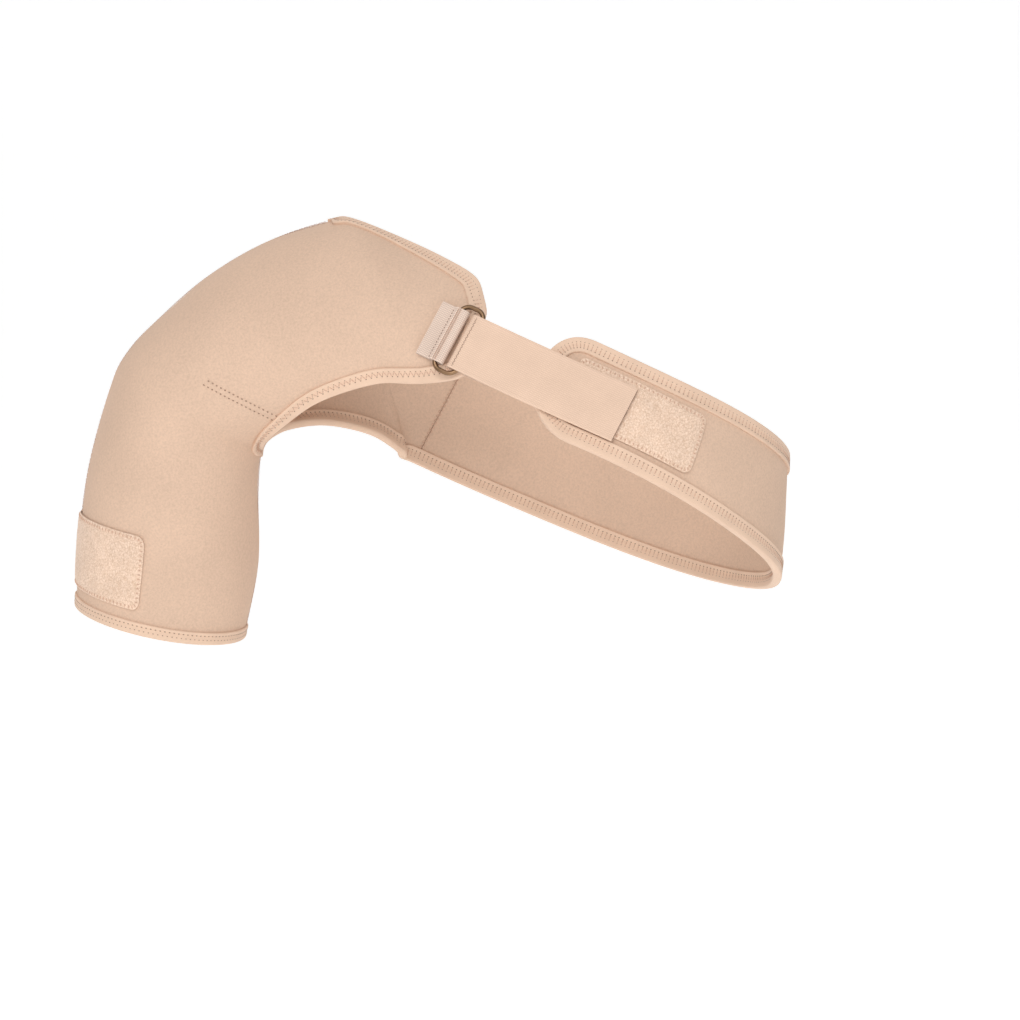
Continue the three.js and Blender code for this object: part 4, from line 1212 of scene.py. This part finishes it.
class BRACE_OT_patches(bpy.types.Operator):
    """Make the loop patches on the sleeve and on the band's free end."""
    bl_idname = "brace.patches"
    bl_label = "Loop Patches"

    def execute(self, context):
        pile = pile_material("loop_pile", context.scene.brace_colours.pile)
        high, spacing = in_mm(context, "pile"), TUFT_SPACING
        for name, node, face, spot, length, height in PATCHES:
            places, halves = patch_rows(length, height / 2, spacing)
            shares = np.linspace(-1, 1, int(height / spacing) + 1)
            y = halves[:, None] * shares
            x = np.broadcast_to(places[:, None], y.shape)
            u, v = spot(x, y)
            inset = np.minimum(np.minimum(x, length - x), height / 2 - np.abs(y))
            inside = ease((inset - PATCH_BORDER + 0.5) / 1.0)
            rolled = 0.35 * (1 - ease(inset / 0.8))
            top = CLEARANCE + PATCH_WALL - 0.35 - rolled + inside * (0.2 + high * tufts(y.shape, spacing))
            rings = walled(face, u, v, top, CLEARANCE)
            replace(add_piece(name + "_pile", *loft(rings), pile), node)
        return {"FINISHED"}


class BRACE_OT_webbing(bpy.types.Operator):
    """Make the tab, the elastic strap and its hook pad."""
    bl_idname = "brace.webbing"
    bl_label = "Tab and Strap"

    def execute(self, context):
        colours = context.scene.brace_colours
        rib = in_mm(context, "rib")

        def tab_relief(up, path):
            """Ribs across the tab between its seam and its bend: a row of sine waves."""
            far, out = path[:, 0], path[:, 1]
            over = (np.arange(len(path)) > len(path) / 2) & (out > CLEARANCE + TAB_WALL)
            ribbed = ease((far - TAB_RIBS[0]) / 0.6) * ease((TAB_RIBS[1] - far) / 0.6) * over
            return ribbed * TAB_RIB_HEIGHT * np.cos(2 * math.pi * far / rib) + 0 * up

        def strap_relief(up, path):
            """A low raised edge along both sides of the strap."""
            return 0.18 * ease((np.abs(up) - WEBBING_WIDTH / 2 + 2.4) / 1.0) + 0 * path[:, 0]

        strips = (
            ("tab_webbing", "ring_tab", "webbing", tab_path(), TAB_WALL, TAB_CROSS,
             tab_relief, -1, ribbed_material("tab_weave", colours.webbing, 1.1, 0.3)),
            ("strap_elastic", "elastic_strap", "elastic", strap_path(), STRAP_WALL, STRAP_CROSS,
             strap_relief, 1, ribbed_material("strap_weave", colours.elastic, 1.1, 0.16)),
        )
        for name, node, slot, path, wall, cross, relief, shown, material in strips:
            rings = webbing_body(path, wall, WEBBING_WIDTH / 2, cross, relief, shown)
            replace(add_piece(name, *loft(rings), material, webbing_uv(path, cross)), node)
        low = CLEARANCE + PATCH_WALL + CLEARANCE + HOOK_PAD_WALL / 2
        far = np.linspace(STRAP_LENGTH - HOOK_PAD_LENGTH, STRAP_LENGTH - HOOK_PAD_MARGIN, 40)
        path = np.stack([far, np.full_like(far, low)], axis=1)
        rings = webbing_body(path, HOOK_PAD_WALL, WEBBING_WIDTH / 2 - HOOK_PAD_MARGIN, 24)
        hook = pile_material("hook_tape", toned(colours.pile, 0.9), 900)
        replace(add_piece("hook_pad", *loft(rings), hook), "strap_hook_pad")
        return {"FINISHED"}


def corner_arcs(across, upward, count):
    """Round corners of a rectangle whose arcs are centred these half sizes from its middle: the angle at
    each of their points and the centre that it turns about."""
    angles = np.concatenate([np.linspace(k, k + 1, count) * math.pi / 2 for k in range(4)])
    middles = np.repeat(np.arange(4) + 0.5, count) * math.pi / 2
    return angles, np.sign(np.cos(middles)) * across, np.sign(np.sin(middles)) * upward


class BRACE_OT_ring(bpy.types.Operator):
    """Make the wire ring."""
    bl_idname = "brace.ring"
    bl_label = "Ring"

    def execute(self, context):
        metal = metal_material("ring_plating", context.scene.brace_colours.metal)
        corner = RING_CORNER - RING_WIRE / 2
        angles, centre_far, centre_up = corner_arcs(
            RING_WIDTH / 2 - RING_CORNER, RING_LENGTH / 2 - RING_CORNER, 13)
        turn = np.linspace(0, 2 * math.pi, 25)[:-1]
        wire = RING_WIRE / 2 + RING_PLATING
        reach = corner + wire * np.cos(turn)[None]
        far = centre_far[:, None] + reach * np.cos(angles)[:, None]
        up = centre_up[:, None] + reach * np.sin(angles)[:, None]
        out = RING_LIFT + wire * np.sin(turn)[None] + 0 * far
        rings = RING_SEAT + ALONG_STRAP * far[..., None] + ACROSS_STRAP * up[..., None] \
            + RING_NORMAL * out[..., None]
        replace(add_piece("wire_ring", *loft(rings, closed=True), metal), "ring")
        return {"FINISHED"}


def over_seam(first, second, pitch):
    """Zigzag thread over the gap between two pieces, whose edges run opposite ways, on both sides of the
    cloth."""
    places = evenly(SEAM_MARGIN, min(first.length, second.length) - SEAM_MARGIN, pitch)
    back = second.length - places
    normals = first.normals(places) + second.normals(back)
    return [zigzag(places, first.line(places, SEAM_REACH, lift), second.line(back, SEAM_REACH, lift),
                   normals * side)
            for lift, side in CLOTH_SIDES]


class BRACE_OT_stitches(bpy.types.Operator):
    """Sew the tapes, the seams, the dart, the patches, the tab and the strap."""
    bl_idname = "brace.stitches"
    bl_label = "Stitches"

    def execute(self, context):
        pitch, thick = in_mm(context, "pitch"), in_mm(context, "thread")
        colour = context.scene.brace_colours.thread
        thread = thread_material("thread", colour)
        # The thread darkened to half is painted shade: it marks the shade in the needle holes and along the
        # strap's fold and end.
        shade_thread = thread_material("thread_painted_shade", toned(colour, 0.5))
        hem, front, back = edge_paths()
        self.tapes(hem, front, back, pitch, thick, thread, shade_thread)
        self.seams(pitch, thick, thread)
        self.dart(thick, shade_thread)
        self.patches(thick, thread)
        self.hardware(thick, in_mm(context, "rib"), thread, shade_thread)
        return {"FINISHED"}

    def tapes(self, hem, front, back, pitch, thick, thread, shade_thread):
        """Ladders on the neck edge and the band, a zigzag on the underarm edge, two rows on the hem. The
        short threads at the stitches' ends and the hem's rows are in the darkened thread: painted shade of
        the needle holes.
        """
        turned = front.run[np.argmax(front.place[:, 0])]
        under = evenly(SEAM_MARGIN, turned - ZIGZAG_STOP, ZIGZAG_SHARE * pitch)
        rungs, hole_shades = ladder(front, turned - LADDER_START, front.length - 1, pitch)
        more_rungs, more_hole_shades = ladder(back, 1, back.length - 1, pitch)
        add_threads("tape_ladder", rungs + more_rungs, thick, thread)
        add_threads("tape_hole_shade", hole_shades + more_hole_shades, thick, shade_thread)
        sewn, zigzag_hole_shades, rows = [], [], []
        for lift, side in TAPE_SIDES:
            near, far = front.line(under, ZIGZAG_IN, lift), front.line(under, ZIGZAG_OUT, lift)
            sewn.append(zigzag(under, near, far, front.normals(under) * side))
            zigzag_hole_shades += [hole_shade_at(front, under[first::2], way, lift, side, pitch)
                      for way, first in ((ZIGZAG_IN, 0), (ZIGZAG_OUT, 1))]
            places = evenly(0, hem.length, pitch / 2)
            for way, shift in zip(HEM_ROWS, (0, pitch / 3)):
                along = np.minimum(places + shift, hem.length)
                rows.append(dashes(hem.line(along, way, lift), hem.normals(along) * side))
        add_threads("underarm_zigzag", sewn, thick, thread)
        add_threads("underarm_hole_shade", zigzag_hole_shades, thick, shade_thread)
        add_threads("hem_rows", rows, thick, shade_thread)

    def seams(self, pitch, thick, thread):
        """Zigzags over the shoulder seam, the sleeve's inner seam and the band's back seam."""
        fine = np.linspace(0, 1, 400)
        top, inner = fine * NECK_AT, fine * ARMPIT_AT
        half = band_half_width(BAND_LENGTH)
        pairs = (
            ((FRONT, top[::-1], 0 * fine), (BACK, top, 0 * fine)),
            ((FRONT, inner, 1 + 0 * fine), (BACK, inner[::-1], 1 + 0 * fine)),
            ((BACK, 1 + 0 * fine, fine), (BAND, BAND_LENGTH + 0 * fine, (2 * fine - 1) * half)),
        )
        runs = [run for pair in pairs
                for run in over_seam(*(Edge([leg], 0.8, smooth=False) for leg in pair), SEAM_SHARE * pitch)]
        add_threads("seam_zigzag", runs, thick, thread)

    def dart(self, thick, shade_thread):
        """Two rows of short stitches, staggered, beside the dart's pad, in the darkened thread: real stitches
        with painted shade of their needle holes, which show as dark dots.
        """
        start, end = np.array(DART_START), np.array(DART_END)
        way = (end - start) / np.linalg.norm(end - start)
        places = evenly(0, np.linalg.norm(end - start), DART_PITCH)
        rows = []
        for off, shift in ((-DART_HALF_WIDTH, 0), (DART_HALF_WIDTH, DART_STAGGER)):
            flat = start + (places + shift)[:, None] * way + off * np.array([-way[1], way[0]])
            u, v = seek(flat[:, 0], flat[:, 1], 0.55, 0.6)
            point = FRONT.point(u, v)
            line = FRONT.lifted(u, v, drape(point) + dart_relief(point) - 0.1)
            rows.append(dashes(line, FRONT.frame(u, v)[2]))
        add_threads("dart_rows", rows, thick, shade_thread)

    def patches(self, thick, thread):
        """Ticks across each loop patch's border, between two rectangles with round corners."""
        runs = []
        for _, _, face, spot, length, height in PATCHES:
            rims = []
            for inset in PATCH_TICKS:
                corner = PATCH_CORNER - inset
                across, upward = length / 2 - PATCH_CORNER, height / 2 - PATCH_CORNER
                angles, middle_x, middle_y = corner_arcs(across, upward, 9)
                x, y = middle_x + corner * np.cos(angles), middle_y + corner * np.sin(angles)
                rims.append(np.stack([np.append(x, x[0]), np.append(y, y[0])], axis=1))
            run = run_of(rims[0])
            places = evenly(0, run[-1], PATCH_TICK_PITCH)[:-1]
            ends = []
            for rim in rims:
                x, y = at_places(places, run, rim).T
                u, v = spot(x + length / 2, y)
                ends.append(face.lifted(u, v, np.full(len(places), CLEARANCE + PATCH_WALL - 0.3)))
            runs.append((*ends, face.frame(u, v)[2]))
        add_threads("patch_ticks", runs, thick, thread)

    def hardware(self, thick, rib, thread, shade_thread):
        """Dashes across the sewn tab, threads in its ribs' grooves, a zigzag beside the strap's fold and a
        line along the strap's end. The zigzag is real stitching darkened as painted shade of the fold, and
        the line at the strap's end is a painted shadow."""
        half = WEBBING_WIDTH / 2 - 1
        up = evenly(-half, half, TAB_PITCH)
        normal = np.broadcast_to(RING_NORMAL, (len(up), 3))
        row = dashes(hardware_point(TAB_ROW, up, tab_top(TAB_ROW)), normal)
        add_threads("tab_row", [row], thick, thread_material("tab_thread", TAB_THREAD))
        grooves = np.arange(TAB_RIBS[0] + 0.5 * rib, TAB_RIBS[1], rib)
        lines = [hardware_point(far, up, tab_top(far) - 0.1) for far in grooves]
        cords = [(line[:-1], line[1:], normal[1:]) for line in lines]
        add_threads("tab_grooves", cords, thick, thread)
        up = evenly(-half, half, STRAP_PITCH)
        normal = np.broadcast_to(RING_NORMAL, (len(up), 3))
        strap_top = RING_LIFT + BAR_OUT + STRAP_WALL
        near, far = [hardware_point(far, up, strap_top) for far in STRAP_ZIGZAG]
        # The strap's zigzag and the line along its end use the darkened thread: painted shade along the fold
        # and a painted shadow at the end.
        add_threads("strap_zigzag", [zigzag(up, near, far, normal)], thick, shade_thread)
        end = hardware_point(STRAP_LENGTH - 0.1, up, STRAP_LANDED + 0.1)
        add_threads("strap_end_shadow_line", [(end[:-1], end[1:], normal[1:])], thick, shade_thread)


class BRACE_OT_studio(bpy.types.Operator):
    """Set the camera, the soft lights and the pale floor."""
    bl_idname = "brace.studio"
    bl_label = "Studio"

    def execute(self, context):
        scene = context.scene
        target = Vector(CAMERA_TARGET)
        camera = bpy.data.objects.new("camera", bpy.data.cameras.new("camera"))
        camera.data.angle = 2 * math.atan(CAMERA_HALF_FRAME / CAMERA_DISTANCE)
        camera.data.clip_end = 50
        way = Vector((0, -math.cos(CAMERA_RISE), math.sin(CAMERA_RISE)))
        camera.location = target + CAMERA_DISTANCE * way
        camera.rotation_euler = (target - camera.location).to_track_quat("-Z", "Y").to_euler()
        scene.collection.objects.link(camera)
        scene.camera = camera
        lights = (
            ("key", (-0.15, -2.4, 1.2), 1.5, KEY_POWER),
            ("top", (0.2, 0.1, 1.9), 2.0, 0.2 * KEY_POWER),
        )
        for name, place, size, power in lights:
            light = bpy.data.lights.new(name, "AREA")
            light.size, light.energy = size, power
            lamp = bpy.data.objects.new(name, light)
            lamp.location = place
            lamp.rotation_euler = (target - lamp.location).to_track_quat("-Z", "Y").to_euler()
            scene.collection.objects.link(lamp)
        world = bpy.data.worlds.new("studio")
        world.use_nodes = True
        sky = world.node_tree.nodes["Background"].inputs
        sky["Color"].default_value, sky["Strength"].default_value = (1, 1, 1, 1), WORLD_LIGHT
        scene.world = world
        scene.view_settings.view_transform = "Standard"
        self.cove()
        return {"FINISHED"}

    def cove(self):
        """The floor and the wall far behind it, joined by a quarter circle: one profile carried sideways."""
        turn = np.linspace(-math.pi / 2, 0, 25)
        radius, bend = 2.5, 3.5
        y = np.concatenate([np.linspace(-9, bend, 12)[:-1], bend + radius * np.cos(turn), [bend + radius]])
        z = np.concatenate([np.zeros(11), radius + radius * np.sin(turn), [7]]) + FLOOR_LEVEL
        x = np.linspace(-9, 9, 3)
        points = np.stack(np.broadcast_arrays(x[:, None], y[None], z[None]), axis=-1).reshape(-1, 3) * 1000
        i, j = np.meshgrid(np.arange(len(x) - 1), np.arange(len(y) - 1), indexing="ij")
        first = (i * len(y) + j).ravel()
        quads = np.stack([first, first + len(y), first + len(y) + 1, first + 1], axis=-1)
        return add_piece("floor", points, quads, floor_material("floor", (0.95, 0.95, 0.945)))


class BRACE_PT_sidebar(bpy.types.Panel):
    """Lists the brace's steps and colours."""
    bl_label = "Shoulder Brace"
    bl_idname = "BRACE_PT_sidebar"
    bl_space_type = "VIEW_3D"
    bl_region_type = "UI"
    bl_category = "Brace"

    def draw(self, context):
        for step in STEPS:
            self.layout.operator(step.bl_idname)
        for group in (context.scene.brace_sizes, context.scene.brace_colours):
            for name in type(group).__annotations__:
                self.layout.prop(group, name)


STEPS = (BRACE_OT_studio, BRACE_OT_panels, BRACE_OT_band, BRACE_OT_tapes, BRACE_OT_patches, BRACE_OT_webbing,
         BRACE_OT_ring, BRACE_OT_stitches)
CLASSES = (BRACE_PG_sizes, BRACE_PG_colours, *STEPS, BRACE_PT_sidebar)


def register():
    for cls in CLASSES:
        bpy.utils.register_class(cls)
    bpy.types.Scene.brace_sizes = PointerProperty(type=BRACE_PG_sizes)
    bpy.types.Scene.brace_colours = PointerProperty(type=BRACE_PG_colours)


def unregister():
    del bpy.types.Scene.brace_colours
    del bpy.types.Scene.brace_sizes
    for cls in reversed(CLASSES):
        bpy.utils.unregister_class(cls)


def main():
    """Makes the whole brace."""
    register()
    bpy.ops.brace.studio()
    bpy.ops.brace.panels()
    bpy.ops.brace.band()
    bpy.ops.brace.tapes()
    bpy.ops.brace.patches()
    bpy.ops.brace.webbing()
    bpy.ops.brace.ring()
    bpy.ops.brace.stitches()


if __name__ == "__main__":
    main()
